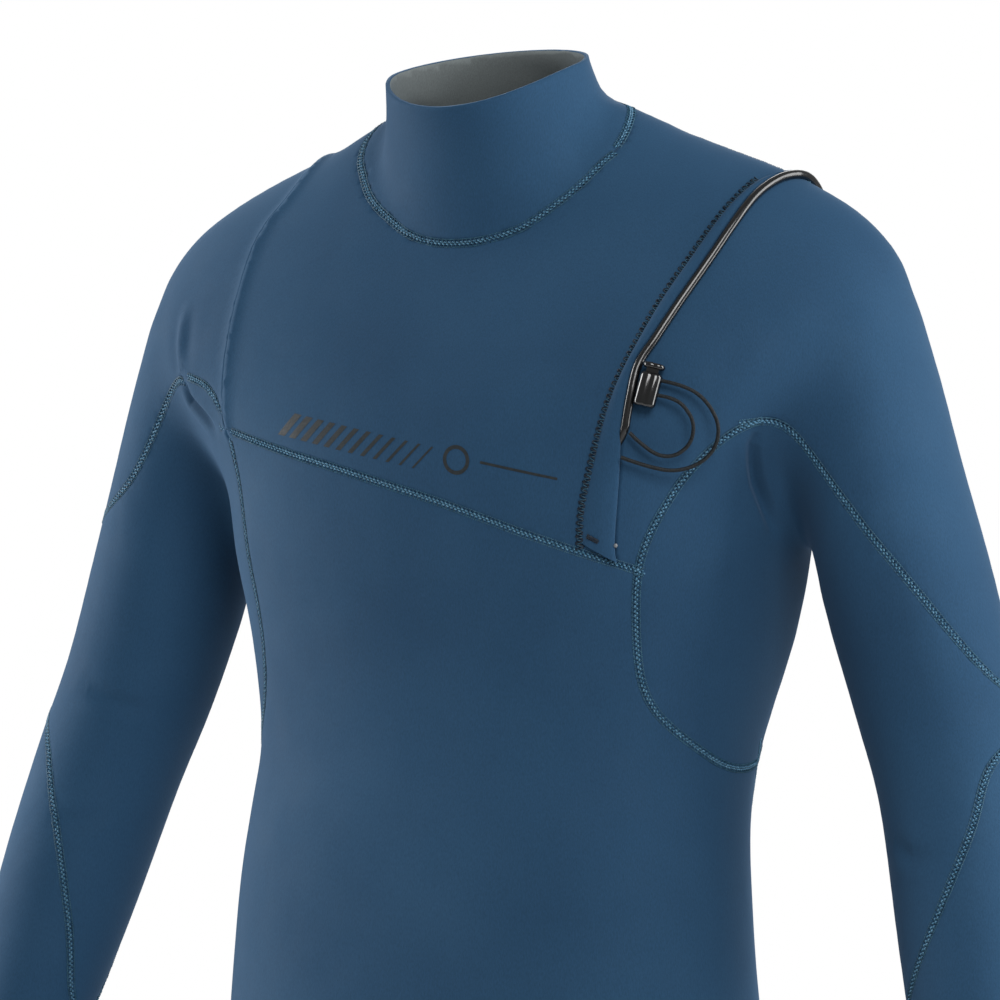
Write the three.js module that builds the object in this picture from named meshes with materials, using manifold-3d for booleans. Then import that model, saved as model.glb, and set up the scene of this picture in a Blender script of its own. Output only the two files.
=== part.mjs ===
// Full wetsuit with a chest flap entry, shown as worn: neoprene panels, shoulder tube and cord lock.
// Millimetres, +Z up, the wearer faces -Y and the wearer's left is +X. The ankle hems lie at Z = 0.

import * as THREE from 'three';
import { mergeVertices } from 'three/addons/utils/BufferGeometryUtils.js';
import Module from 'manifold-3d';

const wasm = await Module();
wasm.setup();

// ---------------------------------------------------------------- driving dimensions

const INSEAM = 745;           // ankle hem to crotch
const TRUNK = 740;            // crotch to the back of the collar rim
const SHOULDER_WIDTH = 500;   // over both shoulder caps
const CHEST_DEPTH = 240;      // front to back at the chest
const SLEEVE = 538;           // shoulder level down to the wrist hem, measured upright
const LIMB_SPREAD = 1;        // girth of arms and legs against the base size

const WALL = 3.5;             // neoprene panel thickness
const SEAM_GAP = 0.4;         // gap left between two panels at a seam
const CLEARANCE = 0.35;       // gap between pieces that touch

const CUFF_HEIGHT = 30;       // turned hem at wrist and ankle
const BARRIER_WALL = 2;       // inner barrier under the flap
const HEM_WALL = 2.4;         // folded hem of the flap
const HEM_EDGE_TO_TUBE = 3.2; // free edge of the flap to the tube's centre line

const TUBE_RADIUS = 2.5;      // shoulder tube
const TUBE_LIFT = 0.7;        // tube above the cloth
const ANCHOR_SIZE = [12, 9, 6.4]; // sewn anchor at the tube's end: along the tube, across it, above the cloth
const BEAD_RADIUS = 1.3;      // bead at the flap's lower corner

const STRAND_RADIUS = 1.15;   // draw cord
const LOCK_LOBE = 4.4;        // radius of each of the lock's two round ribs
const LOCK_LOBE_SPACING = 4;  // between the centres of the two ribs
const LOCK_HEIGHT = 20;       // lock body
const LOCK_FLOOR = 1.6;       // closed bottom of the lock body
const LOCK_BEVEL = 0.8;
const LOCK_TILT = 14;         // degrees, top leaning to the wearer's left
const LOCK_LIFT = 0.4;        // lock body above the cloth
const LOCK_TO_TUBE = 0.5;     // gap between the lock body and the shoulder tube
const PLUNGER_HALF = [3.4, 2.35]; // half sizes of the button's stem
const PLUNGER_BOTTOM = 6;     // above the lock's lower end, at rest
const BUTTON_TRAVEL = 2;
const BUTTON_GAP = 2.4;       // under the button's head at rest
const BUTTON_HEAD = 2.4;      // thickness of the button's head
const STRAND_LEVELS = [17, 8.4]; // heights of the two cord holes in the lock
const HOLE_RADIUS = STRAND_RADIUS + CLEARANCE + 0.05;
const LOCK_MIDDLE = (LOCK_HEIGHT + BUTTON_GAP + BUTTON_HEAD) / 2;
const SPRING_RADIUS = 1.7;
const SPRING_WIRE = 0.25;
const SPRING_TURNS = 3;

// ---------------------------------------------------------------- base size and grading

// The tables below hold the base size. A graded suit stretches them to the driving dimensions.
const BASE = { inseam: 745, trunk: 740, shoulders: 500, depth: 240, sleeve: 538, shoulderLevel: 1350 };

const wide = (x) => x * SHOULDER_WIDTH / BASE.shoulders;
const deep = (y) => y * CHEST_DEPTH / BASE.depth;

function level(z) {
  if (z <= BASE.inseam) return z * INSEAM / BASE.inseam;
  return INSEAM + (z - BASE.inseam) * TRUNK / BASE.trunk;
}

function sleeveLevel(z) {
  return level(BASE.shoulderLevel) - (BASE.shoulderLevel - z) * SLEEVE / BASE.sleeve;
}

// Trunk sections: level, half width, front depth, back depth, middle Y, squareness.
const TRUNK_SECTIONS = [
  [745, 160, 80, 104, -6, 2.2],
  [790, 176, 90, 118, -11, 2.3],
  [830, 175, 90, 116, -16, 2.3],
  [912, 167, 84, 106, -22, 2.3],
  [984, 161, 84, 102, -20, 2.3],
  [1030, 157, 90, 98, -10, 2.3],
  [1070, 158, 98, 96, 6, 2.3],
  [1130, 171, 120, 88, 26, 2.35],
  [1180, 181, 130, 92, 28, 2.4],
  [1225, 187, 132, 98, 26, 2.4],
  [1262, 214, 126, 98, 24, 2.4],
  [1290, 242, 116, 96, 24, 2.35],
  [1320, 250, 103, 92, 24, 2.25],
  [1350, 243, 90, 86, 24, 2.1],
  [1374, 225, 79, 78, 22, 1.95],
  [1392, 200, 71, 70, 20, 1.75],
  [1408, 168, 64, 64, 18, 1.6],
  [1422, 132, 58, 58, 16, 1.6],
  [1436, 100, 52, 54, 12, 1.6],
  [1448, 74, 48, 50, 8, 1.7],
];

// Arm sections: centre X, Y and level, half size across, half size front to back.
const ARM_SECTIONS = [
  [160, 24, 1350, 44, 50],
  [192, 24, 1322, 54, 58],
  [212, 24, 1280, 51, 60],
  [233, 24, 1220, 47, 58],
  [248, 24, 1165, 49, 55],
  [268, 20, 1100, 48, 49],
  [286, 10, 1045, 46, 48],
  [304, -12, 965, 44, 44],
  [318, -36, 885, 37, 36],
  [329, -58, 812, 30, 29],
];

// Leg sections: centre X, Y and level, half size across, half size front to back.
const LEG_SECTIONS = [
  [86, 4, 790, 84, 94],
  [90, 4, 720, 85, 94],
  [96, 1, 660, 82, 88],
  [101, -6, 580, 74, 79],
  [106, -6, 500, 64, 68],
  [109, -7, 440, 58, 61],
  [110, -8, 405, 56, 57],
  [111, -2, 365, 54, 55],
  [112, 4, 320, 55, 57],
  [113, 10, 260, 56, 58],
  [114, 8, 190, 48, 50],
  [115, 5, 120, 40, 41],
  [115, 5, 60, 36, 38],
  [115, 5, 0, 37, 39],
];

// Neck sections: centre Y, level, half width, front depth, back depth, slope (front lower).
const NECK_SECTIONS = [
  [6, 1385, 86, 68, 72, 0.45],
  [0, 1410, 80, 65, 69, 0.42],
  [-8, 1432, 71, 61, 64, 0.36],
  [-16, 1450, 65, 59, 60, 0.30],
  [-24, 1469, 61, 58, 57, 0.28],
];

// Sides of the rings and largest steps along trunk and limbs: finer outside than inside the panels.
const OUTSIDE = { trunk: 28, neck: 20, limb: 14, trunkStep: 50, limbStep: 86 };
const INSIDE = { trunk: 20, neck: 14, limb: 10, trunkStep: 50, limbStep: 86 };

// ---------------------------------------------------------------- solids and lofts

function toSolid(geometry) {
  const bare = geometry.clone();
  bare.deleteAttribute('normal');
  bare.deleteAttribute('uv');
  const merged = mergeVertices(bare, 1e-4);
  const vertProperties = new Float32Array(merged.attributes.position.array);
  const triVerts = new Uint32Array(merged.index.array);
  return new wasm.Manifold(new wasm.Mesh({ numProp: 3, vertProperties, triVerts }));
}

function toGeometry(solid) {
  const mesh = solid.getMesh();
  const geometry = new THREE.BufferGeometry();
  geometry.setAttribute('position', new THREE.BufferAttribute(mesh.vertProperties, 3));
  geometry.setIndex(new THREE.BufferAttribute(mesh.triVerts, 1));
  geometry.computeVertexNormals();
  return geometry;
}

const joinAll = (solids) => solids.reduce((sum, solid) => sum.add(solid));

// Closed skin over a stack of rings, lowest ring first, each ring counter-clockwise from above.
function loft(rings) {
  const count = rings[0].length;
  const points = rings.flat();
  const index = [];
  for (let r = 0; r < rings.length - 1; r += 1) {
    for (let i = 0; i < count; i += 1) {
      const next = (i + 1) % count;
      const low = r * count;
      const high = low + count;
      index.push(low + i, low + next, high + next, low + i, high + next, high + i);
    }
  }
  const middle = (ring) => ring.reduce((sum, p) => sum.add(p), new THREE.Vector3()).divideScalar(count);
  points.push(middle(rings[0]), middle(rings[rings.length - 1]));
  const bottom = points.length - 2;
  const top = points.length - 1;
  const last = (rings.length - 1) * count;
  for (let i = 0; i < count; i += 1) {
    const next = (i + 1) % count;
    index.push(bottom, next, i, top, last + i, last + next);
  }
  const geometry = new THREE.BufferGeometry().setFromPoints(points);
  geometry.setIndex(index);
  return toSolid(geometry);
}

// Smooth values between the rows of a table: a cubic through the rows at place u (0 to rows - 1).
function tableAt(rows, u) {
  const i = Math.min(Math.floor(u), rows.length - 2);
  const t = u - i;
  const before = rows[Math.max(i - 1, 0)];
  const after = rows[Math.min(i + 2, rows.length - 1)];
  return rows[i].map((a, k) => {
    const b = rows[i + 1][k];
    const slopeA = (b - before[k]) / (i > 0 ? 2 : 1);
    const slopeB = (after[k] - a) / (i < rows.length - 2 ? 2 : 1);
    const t2 = t * t;
    const t3 = t2 * t;
    return a * (2 * t3 - 3 * t2 + 1) + slopeA * (t3 - 2 * t2 + t) + b * (3 * t2 - 2 * t3) + slopeB * (t3 - t2);
  });
}

// Places along a table, with extra ones where two rows are further apart than step.
function places(rows, levelColumn, step) {
  const list = [];
  for (let i = 0; i < rows.length - 1; i += 1) {
    const gap = Math.abs(rows[i + 1][levelColumn] - rows[i][levelColumn]);
    const parts = Math.max(1, Math.ceil(gap / step));
    for (let k = 0; k < parts; k += 1) list.push(i + k / parts);
  }
  list.push(rows.length - 1);
  return list;
}

const power = (value, exponent) => Math.sign(value) * Math.abs(value) ** exponent;

// The trunk, grown by a distance: positive is outside the panels' outer face.
function trunkSolid(grow, detail) {
  const rings = places(TRUNK_SECTIONS, 0, detail.trunkStep).map((u) => {
    const [z, half, front, back, middle, square] = tableAt(TRUNK_SECTIONS, u);
    return Array.from({ length: detail.trunk }, (_, i) => {
      const angle = 2 * Math.PI * i / detail.trunk;
      const depth = deep(angle > Math.PI ? front : back) + grow;
      const x = (wide(half) + grow) * power(Math.cos(angle), 2 / square);
      const y = deep(middle) + depth * power(Math.sin(angle), 2 / square);
      return new THREE.Vector3(x, y, level(z));
    });
  });
  for (const point of rings[0]) point.z -= grow;
  for (const point of rings[rings.length - 1]) point.z += grow;
  return loft(rings);
}

function neckSolid(grow, reach, detail) {
  const rings = NECK_SECTIONS.map(([middle, z, half, front, back, slope]) => {
    return Array.from({ length: detail.neck }, (_, i) => {
      const angle = 2 * Math.PI * i / detail.neck;
      const depth = (angle > Math.PI ? front : back) + grow;
      const y = depth * Math.sin(angle);
      return new THREE.Vector3((half + grow) * Math.cos(angle), deep(middle) + y, level(z) + slope * y);
    });
  });
  if (reach > 0) {
    const rim = rings[rings.length - 1];
    rings.push(rim.map((point) => point.clone().add(new THREE.Vector3(0, 0, reach))));
  }
  return loft(rings);
}

// Rings of a limb from its top section down, square to its centre line. Openings run on by reach.
function limbSolid(rows, side, grow, reach, turn, detail) {
  const list = places(rows, 2, detail.limbStep);
  const centre = (row) => new THREE.Vector3(row[0], row[1], row[2]);
  const sections = list.map((u) => tableAt(rows, u));
  const rings = sections.map((row, i) => {
    const ahead = centre(sections[Math.max(i - 1, 0)]);
    const behind = centre(sections[Math.min(i + 1, sections.length - 1)]);
    const along = ahead.sub(behind).normalize();
    if (!turn) along.set(0, 0, 1);
    const across = new THREE.Vector3(0, 1, 0).cross(along).normalize();
    const front = along.clone().cross(across);
    return Array.from({ length: detail.limb }, (_, k) => {
      const angle = 2 * Math.PI * k / detail.limb;
      const point = centre(row);
      point.addScaledVector(across, (row[3] * LIMB_SPREAD + grow) * Math.cos(angle));
      point.addScaledVector(front, (row[4] * LIMB_SPREAD + grow) * Math.sin(angle));
      return point;
    });
  });
  if (reach > 0) {
    const end = centre(sections[sections.length - 1]);
    const along = centre(sections[sections.length - 2]).sub(end).normalize();
    if (!turn) along.set(0, 0, 1);
    const rim = rings[rings.length - 1];
    rings.push(rim.map((point) => point.clone().addScaledVector(along, -reach)));
  }
  rings.reverse();
  if (side < 0) {
    for (const ring of rings) {
      for (const point of ring) point.x = -point.x;
      ring.reverse();
    }
  }
  return loft(rings);
}

const armRows = ARM_SECTIONS.map(([x, y, z, a, b]) => [wide(x), deep(y), sleeveLevel(z), wide(a), deep(b)]);
const legRows = LEG_SECTIONS.map(([x, y, z, a, b]) => [wide(x), deep(y), level(z), wide(a), deep(b)]);

function bodySolid(grow, reach, detail) {
  return joinAll([
    trunkSolid(grow, detail),
    neckSolid(grow, reach, detail),
    limbSolid(armRows, 1, grow, reach, true, detail),
    limbSolid(armRows, -1, grow, reach, true, detail),
    limbSolid(legRows, 1, grow, reach, false, detail),
    limbSolid(legRows, -1, grow, reach, false, detail),
  ]);
}

// ---------------------------------------------------------------- outlines and cutters

const FRONT_VIEW = new THREE.Matrix4().makeBasis(
  new THREE.Vector3(1, 0, 0), new THREE.Vector3(0, 0, 1), new THREE.Vector3(0, -1, 0));
const SIDE_VIEW = new THREE.Matrix4().makeBasis(
  new THREE.Vector3(0, 1, 0), new THREE.Vector3(0, 0, 1), new THREE.Vector3(1, 0, 0));

// A prism over an outline drawn in the front view (X, Z), from Y = near to Y = far.
function frontPrism(outline, near, far) {
  const shape = new THREE.Shape(outline);
  const geometry = new THREE.ExtrudeGeometry(shape, { depth: far - near, bevelEnabled: false });
  geometry.applyMatrix4(FRONT_VIEW);
  geometry.translate(0, far, 0);
  return toSolid(geometry);
}

// A prism over an outline drawn in the side view (Y, Z), from X = -half to X = half.
function sidePrism(outline, half) {
  const shape = new THREE.Shape(outline);
  const geometry = new THREE.ExtrudeGeometry(shape, { depth: 2 * half, bevelEnabled: false });
  geometry.applyMatrix4(SIDE_VIEW);
  geometry.translate(-half, 0, 0);
  return toSolid(geometry);
}

const toPoints = (list) => list.map(([a, b]) => new THREE.Vector2(a, b));

function smoothLine(list, steps) {
  return new THREE.SplineCurve(toPoints(list)).getPoints(steps);
}

// The line moved sideways by a distance, to its left as it runs.
function shiftLine(line, distance) {
  return line.map((point, i) => {
    const from = line[Math.max(i - 1, 0)];
    const to = line[Math.min(i + 1, line.length - 1)];
    const along = to.clone().sub(from).normalize();
    return new THREE.Vector2(point.x - along.y * distance, point.y + along.x * distance);
  });
}

function strip(line, width) {
  return [...shiftLine(line, -width / 2), ...shiftLine(line, width / 2).reverse()];
}

const graded = (list) => list.map(([x, z]) => [wide(x), level(z)]);
const gradedSleeve = (list) => list.map(([x, z]) => [wide(x), sleeveLevel(z)]);
const mirrored = (list) => list.map(([x, z]) => [-x, z]);

const FAR = 260;                        // beyond the suit, front or back
const SIDE_Y = deep(24);                // plane between front and back of the trunk

// The shoulder tube's route (X, Y, Z) in the base size, from the back of the left shoulder over its top
// and down the chest. It is laid on the cloth afterwards.
const TUBE_ROUTE = [
  [170, 94, 1338], [178, 78, 1366], [184, 50, 1388], [186, 22, 1400], [180, 4, 1399], [172, -15, 1388],
  [164, -35, 1368], [155, -48, 1347], [144, -62, 1324], [134, -74, 1303], [127, -81, 1289], [124, -86, 1271],
  [122, -90, 1253],
];
const TUBE_FRONT_FROM = 3;    // first point of the route on the front of the suit

const TUBE_BESIDE_LOCK = [124.8, -82, 1276]; // where the tube passes the cord lock, in the base size
const BEAD_PLACE = [113.8, -85, 1186];

// The draw cord's two strands as seen from the middle of the lock: along its holes, out from the body
// and up the lock. Each runs from the lock in a loop to the flap's edge.
const OUTER_STRAND = [
  [-6.2, 0, 4.6], [6.4, 0, 4.6], [14, 0, 4.6], [21, -0.4, 4], [28, -1.4, 2.2], [34, -3, -1.2],
  [39, -5.2, -5.8], [42.5, -7.4, -11], [44, -9.6, -17], [43.6, -11.4, -23], [41, -12.2, -29.5],
  [36, -12.4, -35.5], [29.5, -11.8, -40], [22, -10.4, -42.8], [14.5, -8.8, -43.6], [6, -7.2, -43.6],
  [0, -6.2, -43.3], [-5.9, -5.2, -42.8],
];
const INNER_STRAND = [
  [-6.2, 0, -4], [6.4, 0, -4], [14, 0, -4], [19.5, -0.6, -5.2], [24.5, -2.2, -8.4], [28.5, -4.2, -13],
  [30.2, -6.2, -18.5], [29.8, -7.8, -24.5], [27, -8.6, -30], [22.5, -8.4, -34.2], [17, -7.6, -36],
  [11.5, -6.4, -35.6], [5.5, -5, -33.4], [0, -4, -30.8], [-4.4, -3.4, -28.2],
];

// Seams in the front view, in the base size.
const FLAP_EDGE_LOW = [[116, 1224], [113, 1197], [112, 1181], [112, 1173]];
const CHEST_SEAM = [[-151, 1255], [-100, 1241], [-53, 1229], [10, 1211], [68, 1191], [124, 1171.5]];
const FLAP_HEM = [
  [94, 1188], [96, 1208], [104, 1240], [112, 1270], [121, 1296], [133, 1327], [145, 1352],
  [157, 1378], [166, 1396],
];
const LEFT_SIDE = [
  [183, 1256], [170, 1248], [150, 1227], [134, 1200], [124, 1175], [120, 1145], [120, 1112],
  [127, 1090], [145, 1069], [158, 1054], [180, 1038],
];
const RIGHT_SIDE = [
  [-183, 1286], [-167, 1281], [-155, 1268], [-148, 1252], [-144, 1225], [-141, 1190], [-136, 1150],
  [-134, 1112], [-138, 1088], [-149, 1068], [-159, 1053], [-180, 1038],
];
const LEFT_SLEEVE = [
  [182, 1256], [194, 1257], [207, 1243], [226, 1220], [248, 1192], [272, 1162], [298, 1127], [330, 1085],
];
const RIGHT_SLEEVE = [
  [-183, 1286], [-195, 1287], [-212, 1277], [-224, 1257], [-238, 1232], [-256, 1214], [-300, 1190],
];
const FOREARM = [[350, 1100], [318, 1068], [312, 1030], [300, 990], [286, 955], [272, 920], [250, 878]];
const RIGHT_ARMHOLE = [
  [-149, 1254], [-150, 1283], [-152, 1320], [-151, 1354], [-145, 1378], [-134, 1398], [-122, 1440],
];
const LEFT_BACK_ARMHOLE = [[171, 1248], [172, 1285], [175, 1330], [178, 1370], [180, 1402], [181, 1425]];
const BACK_YOKE = [[-146, 1228], [-70, 1206], [0, 1200], [70, 1206], [152, 1229]];
const HIP = [
  [-185, 862], [-150, 826], [-100, 784], [-45, 752], [0, 741], [45, 752], [100, 784], [150, 826], [185, 862],
];
const BARRIER = [
  [-138, 1262], [-60, 1242], [112, 1186], [117, 1210], [127, 1262], [150, 1318], [160, 1368], [120, 1386],
  [70, 1366], [0, 1338], [-70, 1366], [-112, 1384], [-136, 1350], [-138, 1262],
];
const BACK_HIP = [[-200, 905], [-90, 896], [0, 890], [90, 896], [200, 905]];

// Seams in the side view (Y, Z), in the base size.
const COLLAR_SEAM = [
  [-90, 1335], [-64, 1361], [-52, 1381], [-33, 1408], [-7, 1436], [14, 1447], [50, 1455], [110, 1462],
];
const SIDE_SEAM = [[24, 1069], [36, 1000], [36, 900], [24, 745], [14, 560], [6, 405], [12, 260], [5, -10]];

const KNEE_TOP = 478;
const KNEE_BOTTOM = 336;
const KNEE_BACK = 425;
const SHOULDER_SEAM = { right: -133, left: 182, low: 1385, high: 1451 };
const GUSSET = { half: 30, front: -62, back: 86, bottom: 668, top: 770 };

// The line run on at both ends, so that it crosses the seam it meets.
function runOn(line, distance) {
  const last = line.length - 1;
  const start = line[0].clone().sub(line[1]).setLength(distance).add(line[0]);
  const end = line[last].clone().sub(line[last - 1]).setLength(distance).add(line[last]);
  return [start, ...line, end];
}

function frontCut(list, near, far, steps) {
  const line = runOn(smoothLine(list, steps), 2 * SEAM_GAP);
  return frontPrism(strip(line, SEAM_GAP), near, far);
}

// A line in the side view, cut right through between X = -half and X = half.
function sideCut(list, half, steps) {
  const points = list.map(([y, z]) => [deep(y), level(z)]);
  return sidePrism(strip(smoothLine(points, steps), SEAM_GAP), half);
}

function placedBox(size, centre) {
  const box = new THREE.BoxGeometry(...size);
  box.translate(...centre);
  return toSolid(box);
}

// A plate square to a limb, one cuff height above its hem.
function cuffCut(rows, side, turn) {
  const end = new THREE.Vector3(...rows[rows.length - 1].slice(0, 3));
  const above = new THREE.Vector3(...rows[rows.length - 2].slice(0, 3));
  const along = turn ? above.sub(end).normalize() : new THREE.Vector3(0, 0, 1);
  const middle = end.addScaledVector(along, CUFF_HEIGHT);
  along.x *= side;
  middle.x *= side;
  const plate = new THREE.BoxGeometry(130, 130, SEAM_GAP);
  plate.applyQuaternion(new THREE.Quaternion().setFromUnitVectors(new THREE.Vector3(0, 0, 1), along));
  plate.translate(middle.x, middle.y, middle.z);
  return toSolid(plate);
}

// Seam along the top of both shoulders, from armhole to armhole, below the collar.
function shoulderCut() {
  const { right, left, low, high } = SHOULDER_SEAM;
  const size = [wide(left - right), SEAM_GAP, level(high) - level(low)];
  return placedBox(size, [wide((right + left) / 2), SIDE_Y, level((low + high) / 2)]);
}

function gussetBox(shrink) {
  const { half, front, back, bottom, top } = GUSSET;
  const low = level(bottom);
  const high = level(top);
  const size = [2 * wide(half), deep(back - front), high - low];
  const centre = [0, deep((front + back) / 2), (low + high) / 2];
  return placedBox(size.map((s) => s - shrink), centre);
}

// Everything in front of the side seam, below the side panels.
function frontOfSideSeam() {
  const line = smoothLine(SIDE_SEAM.map(([y, z]) => [deep(y), level(z)]), 12);
  const corners = toPoints([[-FAR, line[line.length - 1].y], [-FAR, line[0].y]]);
  return sidePrism([...line, ...corners], wide(205));
}

function behindSideSeam() {
  const line = smoothLine(SIDE_SEAM.map(([y, z]) => [deep(y), level(z)]), 12);
  const corners = toPoints([[FAR, line[line.length - 1].y], [FAR, line[0].y]]);
  return sidePrism([...line, ...corners].reverse(), wide(205));
}

// A level cut across one leg.
function legCut(side, z, half) {
  const plate = placedBox([wide(180), 2 * FAR, SEAM_GAP], [side * wide(115), 0, level(z)]);
  return plate.intersect(half);
}

// Free edge of the flap, from the chest seam up to the shoulder: beside the tube, then below its end.
function flapEdge() {
  const tube = graded(TUBE_ROUTE.slice(TUBE_FRONT_FROM).map(([x, , z]) => [x, z])).reverse();
  const beside = shiftLine(toPoints(tube), HEM_EDGE_TO_TUBE);
  const low = graded(FLAP_EDGE_LOW).reverse();
  return [...low, ...beside.map((point) => [point.x, point.y])];
}

function seamCutters() {
  const front = frontOfSideSeam();
  const back = behindSideSeam();
  const cuts = [
    sideCut(COLLAR_SEAM, wide(104), 14),
    frontCut(graded(CHEST_SEAM), -FAR, SIDE_Y, 12),
    frontCut(flapEdge(), -FAR, SIDE_Y, 18),
    frontCut(graded(LEFT_SIDE), -FAR, FAR, 12),
    frontCut(graded(RIGHT_SIDE), -FAR, FAR, 12),
    frontCut(gradedSleeve(LEFT_SLEEVE), -FAR, FAR, 10),
    frontCut(gradedSleeve(RIGHT_SLEEVE), -FAR, FAR, 10),
    frontCut(gradedSleeve(FOREARM), -FAR, FAR, 9),
    frontCut(gradedSleeve(mirrored(FOREARM)), -FAR, FAR, 9),
    frontCut(graded(RIGHT_ARMHOLE), -FAR, FAR, 12),
    frontCut(graded(LEFT_BACK_ARMHOLE), SIDE_Y, FAR, 8),
    frontCut(graded(BACK_YOKE), SIDE_Y, FAR, 8),
    frontCut(graded(HIP), -FAR, FAR, 10).intersect(front),
    frontCut(graded(BACK_HIP), -FAR, FAR, 8).intersect(back),
    frontCut(graded([[0, 890], [0, 740]]), -FAR, FAR, 1).intersect(back),
    sideCut(SIDE_SEAM, wide(205), 12),
    shoulderCut(),
  ];
  for (const side of [1, -1]) {
    cuts.push(legCut(side, KNEE_TOP, front));
    cuts.push(legCut(side, KNEE_BOTTOM, front));
    cuts.push(legCut(side, KNEE_BACK, back));
  }
  const ankles = placedBox([1000, 1000, 2 * CUFF_HEIGHT], [0, 0, 0]);
  const inside = joinAll(cuts).subtract(gussetBox(SEAM_GAP)).subtract(ankles);
  const frame = gussetBox(0).subtract(gussetBox(2 * SEAM_GAP));
  const cuffs = [1, -1].flatMap((side) => [cuffCut(armRows, side, true), cuffCut(legRows, side, false)]);
  return joinAll([inside, frame, ...cuffs]);
}

// ---------------------------------------------------------------- the skin as a formula

// Above zero outside the trunk's outer face, zero on it. The place is in the graded suit.
function outsideTrunk(point) {
  const z = BASE.inseam + (point.z - INSEAM) * BASE.trunk / TRUNK;
  const last = TRUNK_SECTIONS.length - 1;
  let i = 0;
  while (i < last - 1 && TRUNK_SECTIONS[i + 1][0] < z) i += 1;
  const u = i + (z - TRUNK_SECTIONS[i][0]) / (TRUNK_SECTIONS[i + 1][0] - TRUNK_SECTIONS[i][0]);
  const [, half, front, back, middle, square] = tableAt(TRUNK_SECTIONS, Math.min(u, last));
  const y = point.y - deep(middle);
  const depth = deep(y < 0 ? front : back);
  return (Math.abs(point.x / wide(half)) ** square + Math.abs(y / depth) ** square) ** (1 / square) - 1;
}

function skinNormal(point) {
  const step = 0.5;
  const slope = ['x', 'y', 'z'].map((axis) => {
    const ahead = point.clone();
    const behind = point.clone();
    ahead[axis] += step;
    behind[axis] -= step;
    return (outsideTrunk(ahead) - outsideTrunk(behind)) / (2 * step);
  });
  return new THREE.Vector3(...slope);
}

// The nearest place on the trunk's outer face, raised by lift. The place is given in the base size.
function onSkin([x, y, z], lift) {
  const point = new THREE.Vector3(wide(x), deep(y), level(z));
  for (let k = 0; k < 12; k += 1) {
    const slope = skinNormal(point);
    point.addScaledVector(slope, -outsideTrunk(point) / slope.lengthSq());
  }
  const out = skinNormal(point).normalize();
  return { point: point.addScaledVector(out, lift), out };
}

// ---------------------------------------------------------------- materials

const colours = {
  jersey: { color: 0x2c4661, roughness: 0.82, metalness: 0 },
  lining: { color: 0x4b5254, roughness: 0.9, metalness: 0 },
  kneePad: { color: 0x26323f, roughness: 0.7, metalness: 0 },
  tube: { color: 0x0b0d10, roughness: 0.2, metalness: 0 },
  cord: { color: 0x15181c, roughness: 0.6, metalness: 0 },
  lock: { color: 0x101215, roughness: 0.25, metalness: 0 },
  spring: { color: 0xa7acb0, roughness: 0.3, metalness: 1 },
};

function namedMesh(name, geometry, look) {
  const mesh = new THREE.Mesh(geometry, new THREE.MeshStandardMaterial(colours[look]));
  mesh.name = name;
  return mesh;
}

// ---------------------------------------------------------------- panels

// A place on each panel, in the base size, and the panel's look. Panels with a left and a right side
// are given for the left.
const PANELS = [
  ['collar', [0, -70, 1420], 'jersey'],
  ['chest_flap_panel', [0, -92, 1280], 'jersey'],
  ['upper_back_panel', [0, 118, 1300], 'jersey'],
  ['front_torso_panel', [0, -103, 1000], 'jersey'],
  ['back_torso_panel', [0, 82, 1000], 'jersey'],
  ['crotch_gusset', [0, 10, 746], 'jersey'],
];
const SIDE_PANELS = [
  ['shoulder_panel', [215, -30, 1330], 'jersey'],
  ['underarm_side_panel', [168, 26, 1130], 'jersey'],
  ['thigh_front_panel', [101, -83, 580], 'jersey'],
  ['thigh_back_panel', [101, 71, 580], 'jersey'],
  ['knee_pad', [110, -64, 405], 'kneePad'],
  ['shin_panel', [112, -50, 250], 'jersey'],
  ['calf_panel', [113, 66, 250], 'jersey'],
  ['ankle_cuff', [115, -33, 15], 'jersey'],
];
const SLEEVE_PANELS = [
  ['forearm_panel', [346, -12, 965], 'jersey'],
  ['wrist_cuff', [350, -50, 822], 'jersey'],
];
const PROBE = 26;             // side of the small cube that finds a panel

function panelPlaces() {
  const list = PANELS.map(([name, [x, y, z], look]) => [name, [wide(x), deep(y), level(z)], look]);
  for (const [side, word] of [[1, 'left'], [-1, 'right']]) {
    for (const [name, [x, y, z], look] of SIDE_PANELS) {
      list.push([`${word}_${name}`, [side * wide(x), deep(y), level(z)], look]);
    }
    for (const [name, [x, y, z], look] of SLEEVE_PANELS) {
      list.push([`${word}_${name}`, [side * wide(x), deep(y), sleeveLevel(z)], look]);
    }
  }
  return list;
}

function panelMeshes() {
  const shell = bodySolid(0, 0, OUTSIDE).subtract(bodySolid(-WALL, 8, INSIDE));
  const pieces = shell.subtract(seamCutters()).decompose();
  return panelPlaces().map(([name, place, look]) => {
    const probe = placedBox([PROBE, PROBE, PROBE], place);
    const shares = pieces.map((piece) => piece.intersect(probe).volume());
    const best = shares.indexOf(Math.max(...shares));
    return namedMesh(name, toGeometry(pieces[best]), look);
  });
}

// The folded hem along the flap's free edge, a strip that lies on the flap and on the edge's inner side.
function flapHemMesh() {
  const edge = smoothLine(flapEdge().slice(1, -1), 14);
  const stitch = smoothLine(graded(FLAP_HEM), 10).reverse();
  const outline = frontPrism([...edge, ...stitch], -FAR, SIDE_Y - 2);
  const skin = trunkSolid(CLEARANCE + HEM_WALL, OUTSIDE).subtract(trunkSolid(CLEARANCE, OUTSIDE));
  return namedMesh('flap_hem', toGeometry(skin.intersect(outline)), 'jersey');
}

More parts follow.
